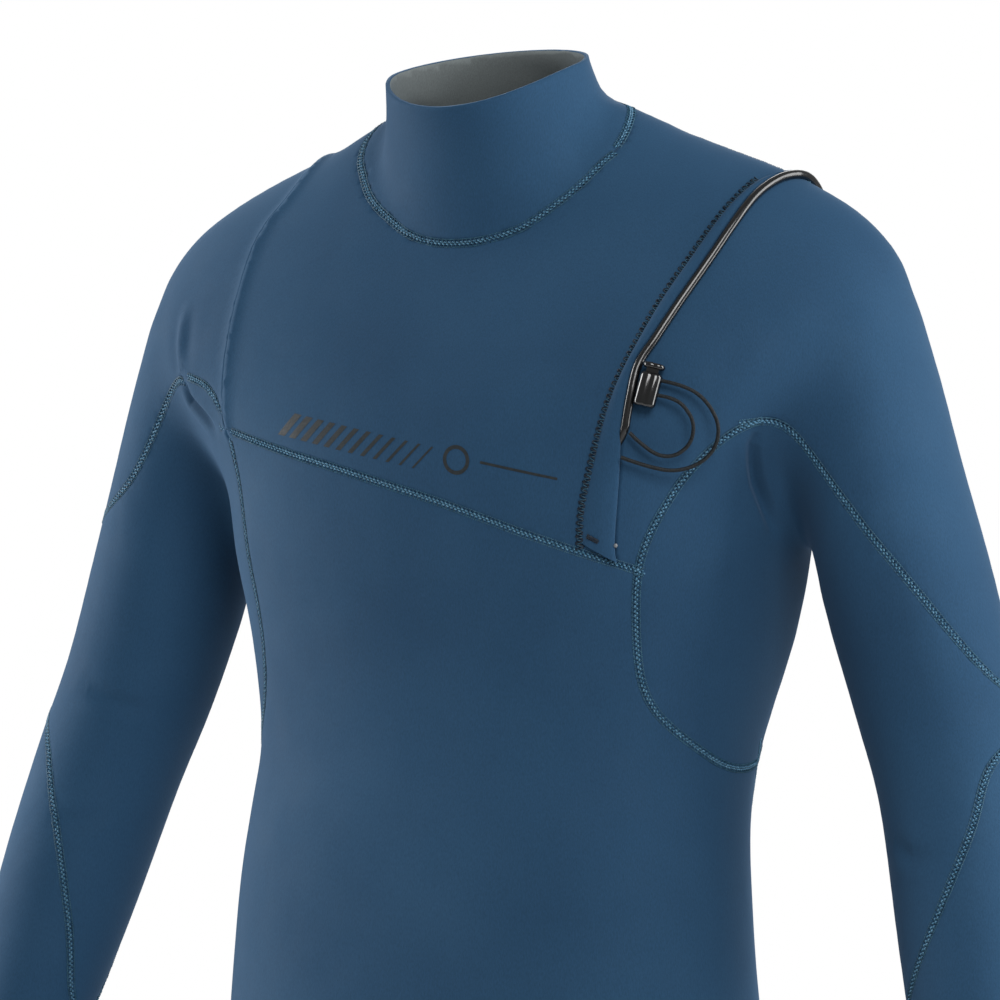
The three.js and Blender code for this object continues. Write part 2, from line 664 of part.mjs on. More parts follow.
// The thin panel behind the flap that closes the entry.
function barrierMesh() {
  const outline = frontPrism(smoothLine(graded(BARRIER), 26), -FAR, SIDE_Y - 4);
  const near = trunkSolid(-WALL - CLEARANCE, INSIDE);
  const skin = near.subtract(trunkSolid(-WALL - CLEARANCE - BARRIER_WALL, INSIDE));
  return namedMesh('inner_barrier', toGeometry(skin.intersect(outline)), 'lining');
}

// ---------------------------------------------------------------- tube, cords and lock

function tubeAlong(points, radius, sides, steps) {
  const ring = Array.from({ length: sides }, (_, i) => {
    const angle = 2 * Math.PI * i / sides;
    return new THREE.Vector2(radius * Math.cos(angle), radius * Math.sin(angle));
  });
  const extrudePath = new THREE.CatmullRomCurve3(points);
  return new THREE.ExtrudeGeometry(new THREE.Shape(ring), { steps, extrudePath, bevelEnabled: false });
}

// Places along the tube's centre line, laid on the cloth.
function tubePoints() {
  const route = new THREE.CatmullRomCurve3(TUBE_ROUTE.map((place) => new THREE.Vector3(...place)));
  return route.getPoints(24).map((place) => onSkin(place.toArray(), TUBE_RADIUS + TUBE_LIFT).point);
}

function shoulderTubeMesh() {
  return namedMesh('shoulder_tube', tubeAlong(tubePoints(), TUBE_RADIUS, 8, 24), 'tube');
}

// The block sewn to the back of the shoulder, where the tube's upper end is held.
function tubeAnchorMesh() {
  const [length, across, height] = ANCHOR_SIZE;
  const [end, before] = tubePoints();
  const along = end.clone().sub(before).normalize();
  const { out } = onSkin(TUBE_ROUTE[0], 0);
  const outward = out.clone().addScaledVector(along, -out.dot(along)).normalize();
  const sideways = outward.clone().cross(along);
  const block = new THREE.BoxGeometry(length, across, height);
  const mesh = namedMesh('shoulder_tube_anchor', block, 'jersey');
  mesh.quaternion.setFromRotationMatrix(new THREE.Matrix4().makeBasis(along, sideways, outward));
  mesh.position.copy(end);
  mesh.position.addScaledVector(along, length / 2 + CLEARANCE);
  mesh.position.addScaledVector(outward, height / 2 + CLEARANCE - TUBE_RADIUS - TUBE_LIFT);
  return mesh;
}

function beadMesh() {
  const mesh = namedMesh('flap_corner_bead', new THREE.SphereGeometry(BEAD_RADIUS, 10, 6), 'lock');
  mesh.position.copy(onSkin(BEAD_PLACE, BEAD_RADIUS + CLEARANCE).point);
  return mesh;
}

// The lock's own frame: X along the cord holes, Y into the body, Z up the lock, origin at its lower end.
function lockGroup() {
  const beside = TUBE_RADIUS + LOCK_TO_TUBE + LOCK_LOBE + LOCK_LOBE_SPACING / 2;
  const [x, y, z] = TUBE_BESIDE_LOCK;
  const place = [x + beside * BASE.shoulders / SHOULDER_WIDTH, y, z];
  const { point, out } = onSkin(place, LOCK_LIFT + LOCK_LOBE);
  const plumb = new THREE.Vector3(0, 0, 1);
  const up = plumb.addScaledVector(out, -out.z).normalize();
  up.applyAxisAngle(out, -THREE.MathUtils.degToRad(LOCK_TILT));
  const along = up.clone().cross(out);
  const group = new THREE.Group();
  group.quaternion.setFromRotationMatrix(new THREE.Matrix4().makeBasis(along, out.clone().negate(), up));
  group.position.copy(point).addScaledVector(up, -LOCK_MIDDLE);
  return group;
}

// Outline of the lock: two round ribs side by side, grown by a distance.
function lobes(grow) {
  const radius = LOCK_LOBE + grow;
  const half = LOCK_LOBE_SPACING / 2;
  const waist = Math.acos(-half / radius);
  const shape = new THREE.Shape();
  shape.absarc(half, 0, radius, -waist, waist);
  shape.absarc(-half, 0, radius, Math.PI - waist, Math.PI + waist);
  return shape;
}

function roundedBar(shape, height, bevel) {
  const settings = { depth: height - 2 * bevel, bevelThickness: bevel, bevelSize: bevel, bevelSegments: 2 };
  const geometry = new THREE.ExtrudeGeometry(shape, { ...settings, bevelOffset: -bevel, curveSegments: 5 });
  geometry.translate(0, 0, bevel);
  return geometry;
}

function cordHole(z) {
  const hole = new THREE.CylinderGeometry(HOLE_RADIUS, HOLE_RADIUS, 4 * LOCK_LOBE, 12);
  hole.rotateZ(Math.PI / 2);
  hole.translate(0, 0, z);
  return toSolid(hole);
}

function lockBodyMesh() {
  const body = toSolid(roundedBar(lobes(0), LOCK_HEIGHT, LOCK_BEVEL));
  const bore = [2 * (PLUNGER_HALF[0] + CLEARANCE), 2 * (PLUNGER_HALF[1] + CLEARANCE), LOCK_HEIGHT];
  const hollow = placedBox(bore, [0, 0, LOCK_FLOOR + LOCK_HEIGHT / 2]);
  const cut = body.subtract(joinAll([hollow, ...STRAND_LEVELS.map(cordHole)]));
  return namedMesh('cord_lock_body', toGeometry(cut), 'lock');
}

// The button: a head above the lock and a stem inside it, with a slot for each strand.
function lockButtonMesh() {
  const [halfX, halfY] = PLUNGER_HALF;
  const headBottom = LOCK_HEIGHT + BUTTON_GAP;
  const head = roundedBar(lobes(-LOCK_BEVEL), BUTTON_HEAD, LOCK_BEVEL / 2);
  head.translate(0, 0, headBottom);
  const stemHeight = headBottom + BUTTON_HEAD / 2 - PLUNGER_BOTTOM;
  const stem = placedBox([2 * halfX, 2 * halfY, stemHeight], [0, 0, PLUNGER_BOTTOM + stemHeight / 2]);
  const slots = STRAND_LEVELS.map((z) => {
    const height = 2 * HOLE_RADIUS + BUTTON_TRAVEL;
    return placedBox([4 * halfX, 2 * HOLE_RADIUS, height], [0, 0, z + BUTTON_TRAVEL / 2]);
  });
  const button = toSolid(head).add(stem).subtract(joinAll(slots));
  return namedMesh('cord_lock_button', toGeometry(button), 'lock');
}

function lockSpringMesh() {
  const bottom = LOCK_FLOOR + CLEARANCE + SPRING_WIRE;
  const top = PLUNGER_BOTTOM - CLEARANCE - SPRING_WIRE;
  const perTurn = 10;
  const steps = SPRING_TURNS * perTurn;
  const points = Array.from({ length: steps + 1 }, (_, i) => {
    const angle = 2 * Math.PI * i / perTurn;
    const z = bottom + (top - bottom) * i / steps;
    return new THREE.Vector3(SPRING_RADIUS * Math.cos(angle), SPRING_RADIUS * Math.sin(angle), z);
  });
  return namedMesh('cord_lock_spring', tubeAlong(points, SPRING_WIRE, 6, steps), 'spring');
}

function strandMesh(name, route, steps) {
  const points = route.map(([along, out, up]) => new THREE.Vector3(along, -out, up + LOCK_MIDDLE));
  return namedMesh(name, tubeAlong(points, STRAND_RADIUS, 8, steps), 'cord');
}

// ---------------------------------------------------------------- the whole suit

const suit = new THREE.Group();
suit.add(...panelMeshes());
suit.add(flapHemMesh());
suit.add(barrierMesh());
suit.add(shoulderTubeMesh());
suit.add(tubeAnchorMesh());
suit.add(beadMesh());

const lock = lockGroup();
lock.add(lockBodyMesh());
lock.add(lockButtonMesh());
lock.add(lockSpringMesh());
lock.add(strandMesh('draw_cord_outer', OUTER_STRAND, 30));
lock.add(strandMesh('draw_cord_inner', INNER_STRAND, 22));
suit.add(lock);

// The origin is at floor level, midway between the front-most and the back-most place.
suit.updateMatrixWorld(true);
const bounds = new THREE.Box3().setFromObject(suit, true);
suit.position.y = -(bounds.min.y + bounds.max.y) / 2;

export default suit;
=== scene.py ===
import math
import random
from collections import deque

import bmesh
import bpy
import numpy as np
from mathutils import Matrix, Vector
from mathutils.bvhtree import BVHTree
from mathutils.kdtree import KDTree


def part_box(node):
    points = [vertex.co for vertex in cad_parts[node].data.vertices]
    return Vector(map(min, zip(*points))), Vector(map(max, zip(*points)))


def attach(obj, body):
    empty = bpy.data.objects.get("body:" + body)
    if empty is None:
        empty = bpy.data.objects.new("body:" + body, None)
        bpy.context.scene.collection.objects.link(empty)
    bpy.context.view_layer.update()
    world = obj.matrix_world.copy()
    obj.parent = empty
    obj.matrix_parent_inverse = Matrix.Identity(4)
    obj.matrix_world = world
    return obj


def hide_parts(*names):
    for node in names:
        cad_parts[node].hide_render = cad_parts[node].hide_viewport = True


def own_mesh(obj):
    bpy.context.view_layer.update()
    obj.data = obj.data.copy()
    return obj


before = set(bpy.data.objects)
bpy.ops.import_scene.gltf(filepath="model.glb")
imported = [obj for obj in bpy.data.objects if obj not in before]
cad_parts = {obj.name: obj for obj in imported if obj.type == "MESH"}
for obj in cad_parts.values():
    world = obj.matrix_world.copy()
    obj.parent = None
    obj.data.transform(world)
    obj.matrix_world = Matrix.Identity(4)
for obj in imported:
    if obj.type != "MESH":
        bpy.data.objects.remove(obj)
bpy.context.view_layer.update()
mm = 0.001
random.seed(7)

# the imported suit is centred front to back, the tables below are not
cuffLow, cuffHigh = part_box("left_ankle_cuff")
shiftY = (cuffLow.y + cuffHigh.y) / 2 - 5 * mm


def place(x, y, z):
    return Vector((x * mm, y * mm + shiftY, z * mm))


# ---- camera

shot = {"azimuth": 27, "distance": 2.5, "height": 1.212, "aside": -0.003, "lens": 150}
turn = math.radians(shot["azimuth"])
right = Vector((math.cos(turn), math.sin(turn), 0))
back = Vector((math.sin(turn), -math.cos(turn), 0))
camera = bpy.data.objects.new("camera", bpy.data.cameras.new("camera"))
bpy.context.scene.collection.objects.link(camera)
camera.location = back * shot["distance"] + right * shot["aside"] + Vector((0, shiftY, shot["height"]))
camera.rotation_euler = (math.radians(90), 0, turn)
camera.data.lens = shot["lens"]
camera.data.sensor_width = 36
bpy.context.scene.camera = camera
print("camera set")


# ---- materials

def newMaterial(name, colour, roughness, sheen=0.0, specular=0.5, coat=0.0, metal=0.0):
    material = bpy.data.materials.new(name)
    material.use_nodes = True
    tree = material.node_tree
    shader = tree.nodes["Principled BSDF"]
    shader.inputs["Base Color"].default_value = (*colour, 1)
    shader.inputs["Roughness"].default_value = roughness
    shader.inputs["Sheen Weight"].default_value = sheen
    shader.inputs["Sheen Roughness"].default_value = 0.45
    shader.inputs["Sheen Tint"].default_value = (0.45, 0.68, 1.0, 1)
    shader.inputs["Specular IOR Level"].default_value = specular
    shader.inputs["Coat Weight"].default_value = coat
    shader.inputs["Coat Roughness"].default_value = 0.12
    shader.inputs["Metallic"].default_value = metal
    return material, tree, shader


def node(tree, kind, **settings):
    made = tree.nodes.new(kind)
    for key, value in settings.items():
        if key in made.inputs:
            made.inputs[key].default_value = value
        else:
            setattr(made, key, value)
    return made


def noiseOf(tree, scale, stretch=(1, 1, 1), detail=2.0, roughness=0.5):
    coordinates = node(tree, "ShaderNodeTexCoord")
    mapping = node(tree, "ShaderNodeMapping")
    mapping.inputs["Scale"].default_value = stretch
    noise = node(tree, "ShaderNodeTexNoise")
    noise.inputs["Scale"].default_value = scale
    noise.inputs["Detail"].default_value = detail
    noise.inputs["Roughness"].default_value = roughness
    tree.links.new(coordinates.outputs["Object"], mapping.inputs["Vector"])
    tree.links.new(mapping.outputs["Vector"], noise.inputs["Vector"])
    return noise.outputs["Fac"]


def rampOf(tree, value, stops):
    ramp = node(tree, "ShaderNodeValToRGB")
    elements = ramp.color_ramp.elements
    elements[0].position, elements[0].color = stops[0][0], (*stops[0][1], 1)
    elements[1].position, elements[1].color = stops[-1][0], (*stops[-1][1], 1)
    for position, colour in stops[1:-1]:
        elements.new(position).color = (*colour, 1)
    tree.links.new(value, ramp.inputs["Fac"])
    return ramp.outputs["Color"]


def mixOf(tree, first, second, factor, blend="MIX"):
    mix = node(tree, "ShaderNodeMix", data_type="RGBA", blend_type=blend)
    mix.inputs["Factor"].default_value = factor if isinstance(factor, float) else 0.5
    if not isinstance(factor, float):
        tree.links.new(factor, mix.inputs["Factor"])
    tree.links.new(first, mix.inputs["A"])
    tree.links.new(second, mix.inputs["B"])
    return mix.outputs["Result"]


def bumpOf(tree, shader, height, strength, distance, under=None):
    bump = node(tree, "ShaderNodeBump")
    bump.inputs["Strength"].default_value = strength
    bump.inputs["Distance"].default_value = distance
    tree.links.new(height, bump.inputs["Height"])
    if under is not None:
        tree.links.new(under, bump.inputs["Normal"])
    tree.links.new(bump.outputs["Normal"], shader.inputs["Normal"])
    return bump.outputs["Normal"]


cloth = {
    "base": (0.0205, 0.069, 0.140), "dark": (0.0165, 0.058, 0.121), "light": (0.0250, 0.079, 0.156),
    "knee": (0.008, 0.020, 0.038), "lining": (0.19, 0.215, 0.218), "roughness": 0.8, "sheen": 0.16,
}


def knitMaterial(name, dark, base, light, roughness, sheen, grain=0.16):
    material, tree, shader = newMaterial(name, base, roughness, sheen=sheen, specular=0.2)
    patches = rampOf(tree, noiseOf(tree, 6.5, detail=3.0), [(0.3, dark), (0.5, base), (0.72, light)])
    grainTone = rampOf(tree, noiseOf(tree, 1.0, stretch=(1500, 1500, 520), detail=1.0),
                       [(0.25, (0.86, 0.86, 0.86)), (0.5, (1, 1, 1)), (0.8, (1.16, 1.16, 1.16))])
    colour = mixOf(tree, patches, grainTone, 0.8, "MULTIPLY")
    tree.links.new(colour, shader.inputs["Base Color"])
    ripple = bumpOf(tree, shader, noiseOf(tree, 26.0, detail=2.0), 0.10, 0.0012)
    bumpOf(tree, shader, noiseOf(tree, 1.0, stretch=(1100, 1100, 420), detail=2.0), grain, 0.0004, ripple)
    rough = node(tree, "ShaderNodeMapRange")
    rough.inputs["To Min"].default_value = roughness - 0.06
    rough.inputs["To Max"].default_value = roughness + 0.08
    tree.links.new(noiseOf(tree, 40.0, detail=2.0), rough.inputs["Value"])
    tree.links.new(rough.outputs["Result"], shader.inputs["Roughness"])
    return material


jersey = knitMaterial("jersey", cloth["dark"], cloth["base"], cloth["light"], cloth["roughness"], cloth["sheen"])
kneeKnit = knitMaterial("knee fabric", (0.006, 0.015, 0.028), cloth["knee"], (0.012, 0.027, 0.050), 0.7, 0.08, 0.4)
lining = knitMaterial("lining", (0.165, 0.190, 0.193), cloth["lining"], (0.215, 0.245, 0.248), 0.9, 0.1, 0.25)


def threadMaterial(name, dark, light, roughness=0.5):
    material, tree, shader = newMaterial(name, dark, roughness, specular=0.4)
    tree.links.new(rampOf(tree, noiseOf(tree, 420.0, detail=2.0), [(0.35, dark), (0.65, light)]),
                   shader.inputs["Base Color"])
    bumpOf(tree, shader, noiseOf(tree, 2600.0, detail=1.0), 0.4, 0.0002)
    return material


threadLight = threadMaterial("stitch thread light", (0.045, 0.155, 0.265), (0.135, 0.31, 0.47))
threadTeal = threadMaterial("stitch thread teal", (0.016, 0.066, 0.118), (0.040, 0.130, 0.20))
threadDark = threadMaterial("stitch thread navy", (0.002, 0.007, 0.016), (0.006, 0.018, 0.036))
printInk = threadMaterial("print", (0.016, 0.022, 0.026), (0.024, 0.030, 0.033), 0.42)


def glossMaterial(name, colour, roughness, coat):
    material, tree, shader = newMaterial(name, colour, roughness, specular=0.55, coat=coat)
    rough = node(tree, "ShaderNodeMapRange")
    rough.inputs["To Min"].default_value = roughness - 0.05
    rough.inputs["To Max"].default_value = roughness + 0.07
    tree.links.new(noiseOf(tree, 180.0, detail=4.0), rough.inputs["Value"])
    tree.links.new(rough.outputs["Result"], shader.inputs["Roughness"])
    tone = rampOf(tree, noiseOf(tree, 60.0, detail=3.0), [(0.3, tuple(c * 0.8 for c in colour)), (0.7, tuple(c * 1.3 for c in colour))])
    tree.links.new(tone, shader.inputs["Base Color"])
    bumpOf(tree, shader, noiseOf(tree, 90.0, detail=2.0), 0.06, 0.0006)
    return material


tubeRubber = glossMaterial("tube rubber", (0.0035, 0.004, 0.0045), 0.24, 0.35)
lockPlastic = glossMaterial("lock plastic", (0.0025, 0.003, 0.0035), 0.15, 0.6)
beadMetal = glossMaterial("bead", (0.16, 0.17, 0.18), 0.2, 0.3)
springSteel, springTree, springShader = newMaterial("spring steel", (0.62, 0.63, 0.65), 0.28, metal=1.0)


def cordMaterial():
    material, tree, shader = newMaterial("draw cord", (0.006, 0.007, 0.008), 0.6, sheen=0.05, specular=0.3)
    braid = noiseOf(tree, 1500.0, stretch=(1, 1, 0.55), detail=1.0)
    tree.links.new(rampOf(tree, braid, [(0.35, (0.003, 0.0045, 0.006)), (0.65, (0.016, 0.020, 0.023))]),
                   shader.inputs["Base Color"])
    bumpOf(tree, shader, braid, 0.5, 0.0004)
    return material


cordBraid = cordMaterial()
print("materials made")


# ---- draw cord

lockFrame = {
    "origin": (0.133221581, -0.097836569, 1.264796341), "along": (0.938244, 0.249875, -0.239293),
    "inward": (-0.289397, 0.945852, -0.147014), "up": (0.189601, 0.207186, 0.959753), "middle": 12.4,
}
lockOrigin, lockAlong = Vector(lockFrame["origin"]), Vector(lockFrame["along"])
lockInward, lockUp = Vector(lockFrame["inward"]), Vector(lockFrame["up"])
lockMatrix = Matrix.Translation(lockOrigin) @ Matrix((lockAlong, lockInward, lockUp)).transposed().to_4x4()


def inLock(along, out, up):
    return lockMatrix @ (Vector((along, -out, up + lockFrame["middle"])) * mm)


strands = {
    "outer": [
        (-6.2, 0, 4.6), (6.4, 0, 4.6), (14, 0, 4.6), (21, -0.4, 4), (28, -1.4, 2.2), (34, -3, -1.2),
        (39, -5.2, -5.8), (42.5, -7.4, -11), (44, -9.6, -17), (43.6, -11.4, -23), (41, -12.2, -29.5),
        (36, -12.4, -35.5), (29.5, -11.8, -40), (22, -10.4, -42.8), (14.5, -8.8, -43.6), (6, -7.2, -43.6),
        (0, -6.2, -43.3), (-5.9, -5.2, -42.8)],
    "inner": [
        (-6.2, 0, -4), (6.4, 0, -4), (14, 0, -4), (19.5, -0.6, -5.2), (24.5, -2.2, -8.4), (28.5, -4.2, -13),
        (30.2, -6.2, -18.5), (29.8, -7.8, -24.5), (27, -8.6, -30), (22.5, -8.4, -34.2), (17, -7.6, -36),
        (11.5, -6.4, -35.6), (5.5, -5, -33.4), (0, -4, -30.8), (-4.4, -3.4, -28.2)],
    "diameter": 0.0023,
}


def curveObject(name, lines, radius, materials, smooth=True, sides=2, cap=True):
    curve = bpy.data.curves.new(name, "CURVE")
    curve.dimensions = "3D"
    curve.bevel_depth = radius
    curve.bevel_resolution = sides
    curve.use_fill_caps = cap
    for line in lines:
        points, slot = line
        spline = curve.splines.new("BEZIER" if smooth else "POLY")
        if smooth:
            spline.bezier_points.add(len(points) - 1)
            for point, co in zip(spline.bezier_points, points):
                point.co = co
                point.handle_left_type = point.handle_right_type = "AUTO"
            spline.resolution_u = 8
        else:
            spline.points.add(len(points) - 1)
            spline.points.foreach_set("co", [value for co in points for value in (*co, 1.0)])
        spline.material_index = slot
    for material in materials:
        curve.materials.append(material)
    made = bpy.data.objects.new(name, curve)
    bpy.context.scene.collection.objects.link(made)
    return made


for strand in ("outer", "inner"):
    route = [inLock(*point) for point in strands[strand]]
    cord = curveObject(strand + "_cord_braid", [(route, 0)], strands["diameter"] / 2, [cordBraid], sides=3)
    cord.data.splines[0].use_smooth = True
    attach(cord, "suit")
    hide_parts("draw_cord_" + strand)


# ---- the suit's skin: lofts made one closed shell

shape = {
    "trunk": [  # level, half width, front, back, middle, squareness
        (745, 160, 80, 104, -6, 2.2), (790, 176, 90, 118, -11, 2.3), (830, 175, 90, 116, -16, 2.3),
        (912, 167, 84, 106, -22, 2.3), (984, 161, 84, 102, -20, 2.3), (1030, 157, 90, 98, -10, 2.3),
        (1070, 158, 98, 96, 6, 2.3), (1130, 171, 120, 88, 26, 2.35), (1180, 181, 130, 92, 28, 2.4),
        (1225, 187, 132, 98, 26, 2.4), (1262, 214, 126, 98, 24, 2.4), (1290, 242, 116, 96, 24, 2.35),
        (1320, 250, 103, 92, 24, 2.25), (1350, 243, 90, 86, 24, 2.1), (1374, 225, 79, 78, 22, 1.95),
        (1392, 200, 71, 70, 20, 1.75), (1408, 168, 64, 64, 18, 1.6), (1422, 132, 58, 58, 16, 1.6),
        (1436, 100, 52, 54, 12, 1.6), (1448, 74, 48, 50, 8, 1.7)],
    "arm": [  # centre, half across, half front to back
        (160, 24, 1350, 44, 50), (192, 24, 1322, 54, 58), (212, 24, 1280, 51, 60), (233, 24, 1220, 47, 58),
        (248, 24, 1165, 49, 55), (268, 20, 1100, 48, 49), (286, 10, 1045, 46, 48), (304, -12, 965, 44, 44),
        (318, -36, 885, 37, 36), (329, -58, 812, 30, 29)],
    "leg": [
        (86, 4, 790, 84, 94), (90, 4, 720, 85, 94), (96, 1, 660, 82, 88), (101, -6, 580, 74, 79),
        (106, -6, 500, 64, 68), (109, -7, 440, 58, 61), (110, -8, 405, 56, 57), (111, -2, 365, 54, 55),
        (112, 4, 320, 55, 57), (113, 10, 260, 56, 58), (114, 8, 190, 48, 50), (115, 5, 120, 40, 41),
        (115, 5, 60, 36, 38), (115, 5, 0, 37, 39)],
    "neck": [  # middle, level, half width, front, back, slope
        (6, 1385, 86, 68, 72, 0.45), (0, 1410, 80, 65, 69, 0.42), (-8, 1432, 71, 61, 64, 0.36),
        (-16, 1450, 65, 59, 60, 0.30), (-24, 1469, 61, 58, 57, 0.28)],
    "sides": 64, "voxel": 0.005, "past": 14, "dip": 0.0125,
}


def between(rows, u):  # smooth values between the rows of a table
    rows = np.array(rows, float)
    i = min(int(u), len(rows) - 2)
    t = u - i
    slopeA = (rows[i + 1] - rows[max(i - 1, 0)]) / (2 if i > 0 else 1)
    slopeB = (rows[min(i + 2, len(rows) - 1)] - rows[i]) / (2 if i < len(rows) - 2 else 1)
    return (rows[i] * (2 * t**3 - 3 * t**2 + 1) + slopeA * (t**3 - 2 * t**2 + t)
            + rows[i + 1] * (3 * t**2 - 2 * t**3) + slopeB * (t**3 - t**2))


def loft(bm, rings):
    edges = []
    for ring in rings:
        circle = bmesh.ops.create_circle(bm, segments=shape["sides"], radius=1.0)["verts"]
        for vert in circle:
            vert.co = ring(math.atan2(vert.co.y, vert.co.x))
        edges.append(list({edge for vert in circle for edge in vert.link_edges}))
    for low, high in zip(edges, edges[1:]):
        bmesh.ops.bridge_loops(bm, edges=low + high)
    for rim in (edges[0], edges[-1]):
        bmesh.ops.contextual_create(bm, geom=rim)


def power(value, exponent):
    return math.copysign(abs(value) ** exponent, value)


def trunkRing(row):
    z, half, front, behind, middle, square = row

    def at(angle):
        depth = front if angle < 0 else behind
        return place(half * power(math.cos(angle), 2 / square), middle + depth * power(math.sin(angle), 2 / square), z)
    return at


def neckRing(row, lift=0):
    middle, z, half, front, behind, slope = row

    def at(angle):
        y = (front if angle < 0 else behind) * math.sin(angle)
        return place(half * math.cos(angle), middle + y, z + slope * y + lift)
    return at


def limbRings(rows, side, turned):
    count = 4 * (len(rows) - 1)
    sections = [between(rows, k / 4) for k in range(count + 1)]
    end, before = sections[-1], sections[-2]
    direction = (end[:3] - before[:3]) if turned else np.array([0, 0, -1.0])
    direction = direction / np.linalg.norm(direction)
    past = end.copy()
    past[:3] += direction * shape["past"]
    sections.append(past)
    rings = []
    for i, row in enumerate(sections):
        along = np.array(sections[max(i - 1, 0)][:3]) - np.array(sections[min(i + 1, len(sections) - 1)][:3])
        along = Vector(along).normalized() if turned else Vector((0, 0, 1))
        across = Vector((0, 1, 0)).cross(along).normalized()
        front = along.cross(across)

        def at(angle, row=row, across=across, front=front):
            point = Vector(row[:3]) + across * row[3] * math.cos(angle) + front * row[4] * math.sin(angle)
            return place(side * point.x, point.y, point.z)
        rings.append(at)
    return rings[::-1]


shell = bmesh.new()
loft(shell, [trunkRing(between(shape["trunk"], k / 3)) for k in range(3 * (len(shape["trunk"]) - 1) + 1)])
neckRows = [between(shape["neck"], k / 3) for k in range(3 * (len(shape["neck"]) - 1) + 1)]
loft(shell, [neckRing(row) for row in neckRows] + [neckRing(neckRows[-1], shape["past"])])
for side in (1, -1):
    loft(shell, limbRings(shape["arm"], side, True))
    loft(shell, limbRings(shape["leg"], side, False))
bmesh.ops.triangulate(shell, faces=[face for face in shell.faces if len(face.verts) > 4])
bmesh.ops.recalc_face_normals(shell, faces=shell.faces)
lofted = bpy.data.meshes.new("lofts")
shell.to_mesh(lofted)
shell.free()
rough = bpy.data.objects.new("lofts", lofted)
bpy.context.scene.collection.objects.link(rough)
remesh = rough.modifiers.new("one skin", "REMESH")
remesh.mode = "VOXEL"
remesh.voxel_size = shape["voxel"]
bpy.context.view_layer.update()
skin = bmesh.new()
skin.from_object(rough, bpy.context.evaluated_depsgraph_get())
bpy.data.objects.remove(rough)
print("skin", len(skin.verts))


def trim(point, normal, inside):
    faces = [face for face in skin.faces if inside(face.calc_center_median())]
    geometry = list({item for face in faces for item in (*face.verts, *face.edges)}) + faces
    bmesh.ops.bisect_plane(skin, geom=geometry, dist=1e-5, plane_co=point, plane_no=normal, clear_outer=True)


for side in (1, -1):
    down = (Vector(shape["arm"][-1][:3]) - Vector(shape["arm"][-2][:3])).normalized()
    down.x *= side
    end = shape["arm"][-1]
    trim(place(side * end[0], end[1], end[2]), down, lambda c, side=side: c.x * side > 0.25 and c.z < 0.88)
    trim(Vector((0, 0, 0)), Vector((0, 0, -1)), lambda c, side=side: c.x * side > 0 and c.z < 0.05)
rim = shape["neck"][-1]
trim(place(0, rim[0], rim[1]), Vector((0, -rim[5], 1)).normalized(), lambda c: c.z > 1.43 and abs(c.x) < 0.1)

# soften the lines where the lofts meet
def neckKeep(co):  # the neck keeps its crease, most of all on its right side
    if co.z < 1.33 or abs(co.x) > 0.105:
        return 1
    return 20 if co.x < -0.035 else 6


creased = {vert for edge in skin.edges if len(edge.link_faces) == 2 and edge.calc_face_angle() > 0.3
           for vert in edge.verts}
tree = KDTree(len(creased))
for i, vert in enumerate(creased):
    tree.insert(vert.co, i)
tree.balance()
distance = {vert: tree.find(vert.co)[2] * neckKeep(vert.co) for vert in skin.verts}
for reach, rounds in ((0.055, 8), (0.034, 14), (0.018, 12), (9.0, 2)):
    near = [vert for vert, far in distance.items() if far < reach and not vert.is_boundary]
    for _ in range(rounds):
        bmesh.ops.smooth_vert(skin, verts=near, factor=0.5, use_axis_x=True, use_axis_y=True, use_axis_z=True)
# the collar's rim dips at the front
for vert in skin.verts:
    ahead = -24 * mm + shiftY - vert.co.y
    if ahead > 0 and vert.co.z > 1.38 and abs(vert.co.x) < 0.1:
        rimLevel = rim[1] * mm - rim[5] * ahead
        vert.co.z -= shape["dip"] * (ahead / 0.058) ** 2 * min(1.0, (vert.co.z - 1.38) / (rimLevel - 1.38))
hips = [vert for vert in skin.verts if abs(vert.co.x) > 0.125 and 0.69 < vert.co.z < 0.84 and not vert.is_boundary]
for _ in range(40):
    bmesh.ops.smooth_vert(skin, verts=hips, factor=0.5, use_axis_x=True, use_axis_y=True, use_axis_z=True)
print("softened", len(creased))


# ---- soft folds pressed into the skin

folds = [  # points in the front view, depth, width
    ([(184, 1251), (180, 1243), (178, 1233), (177, 1222), (178, 1208), (179, 1194)], 5.2, 4.0),
    ([(-193, 1284), (-187, 1273), (-176, 1265), (-163, 1255)], 4.0, 3.8),
    ([(-199, 1328), (-197, 1310), (-193, 1290)], -2.2, 5.0),
    ([(262, 1018), (276, 1012), (290, 1014)], 2.0, 6.0),
    ([(-262, 1018), (-276, 1012), (-290, 1014)], 1.8, 6.0),
    ([(-238, 1078), (-256, 1086), (-278, 1094)], 1.8, 6.0),
]


def pathPoints(points, step):
    path = []
    for a, b in zip(points, points[1:]):
        count = max(1, int((b - a).length / step))
        path += [a.lerp(b, k / count) for k in range(count)]
    return path + [points[-1]]


def frontHit(tree, x, z):  # where a line from the front first meets a surface
    hit = tree.ray_cast(place(x, -400, z), Vector((0, 1, 0)))
    return hit if hit[0] is not None else tree.find_nearest(place(x, 10, z))


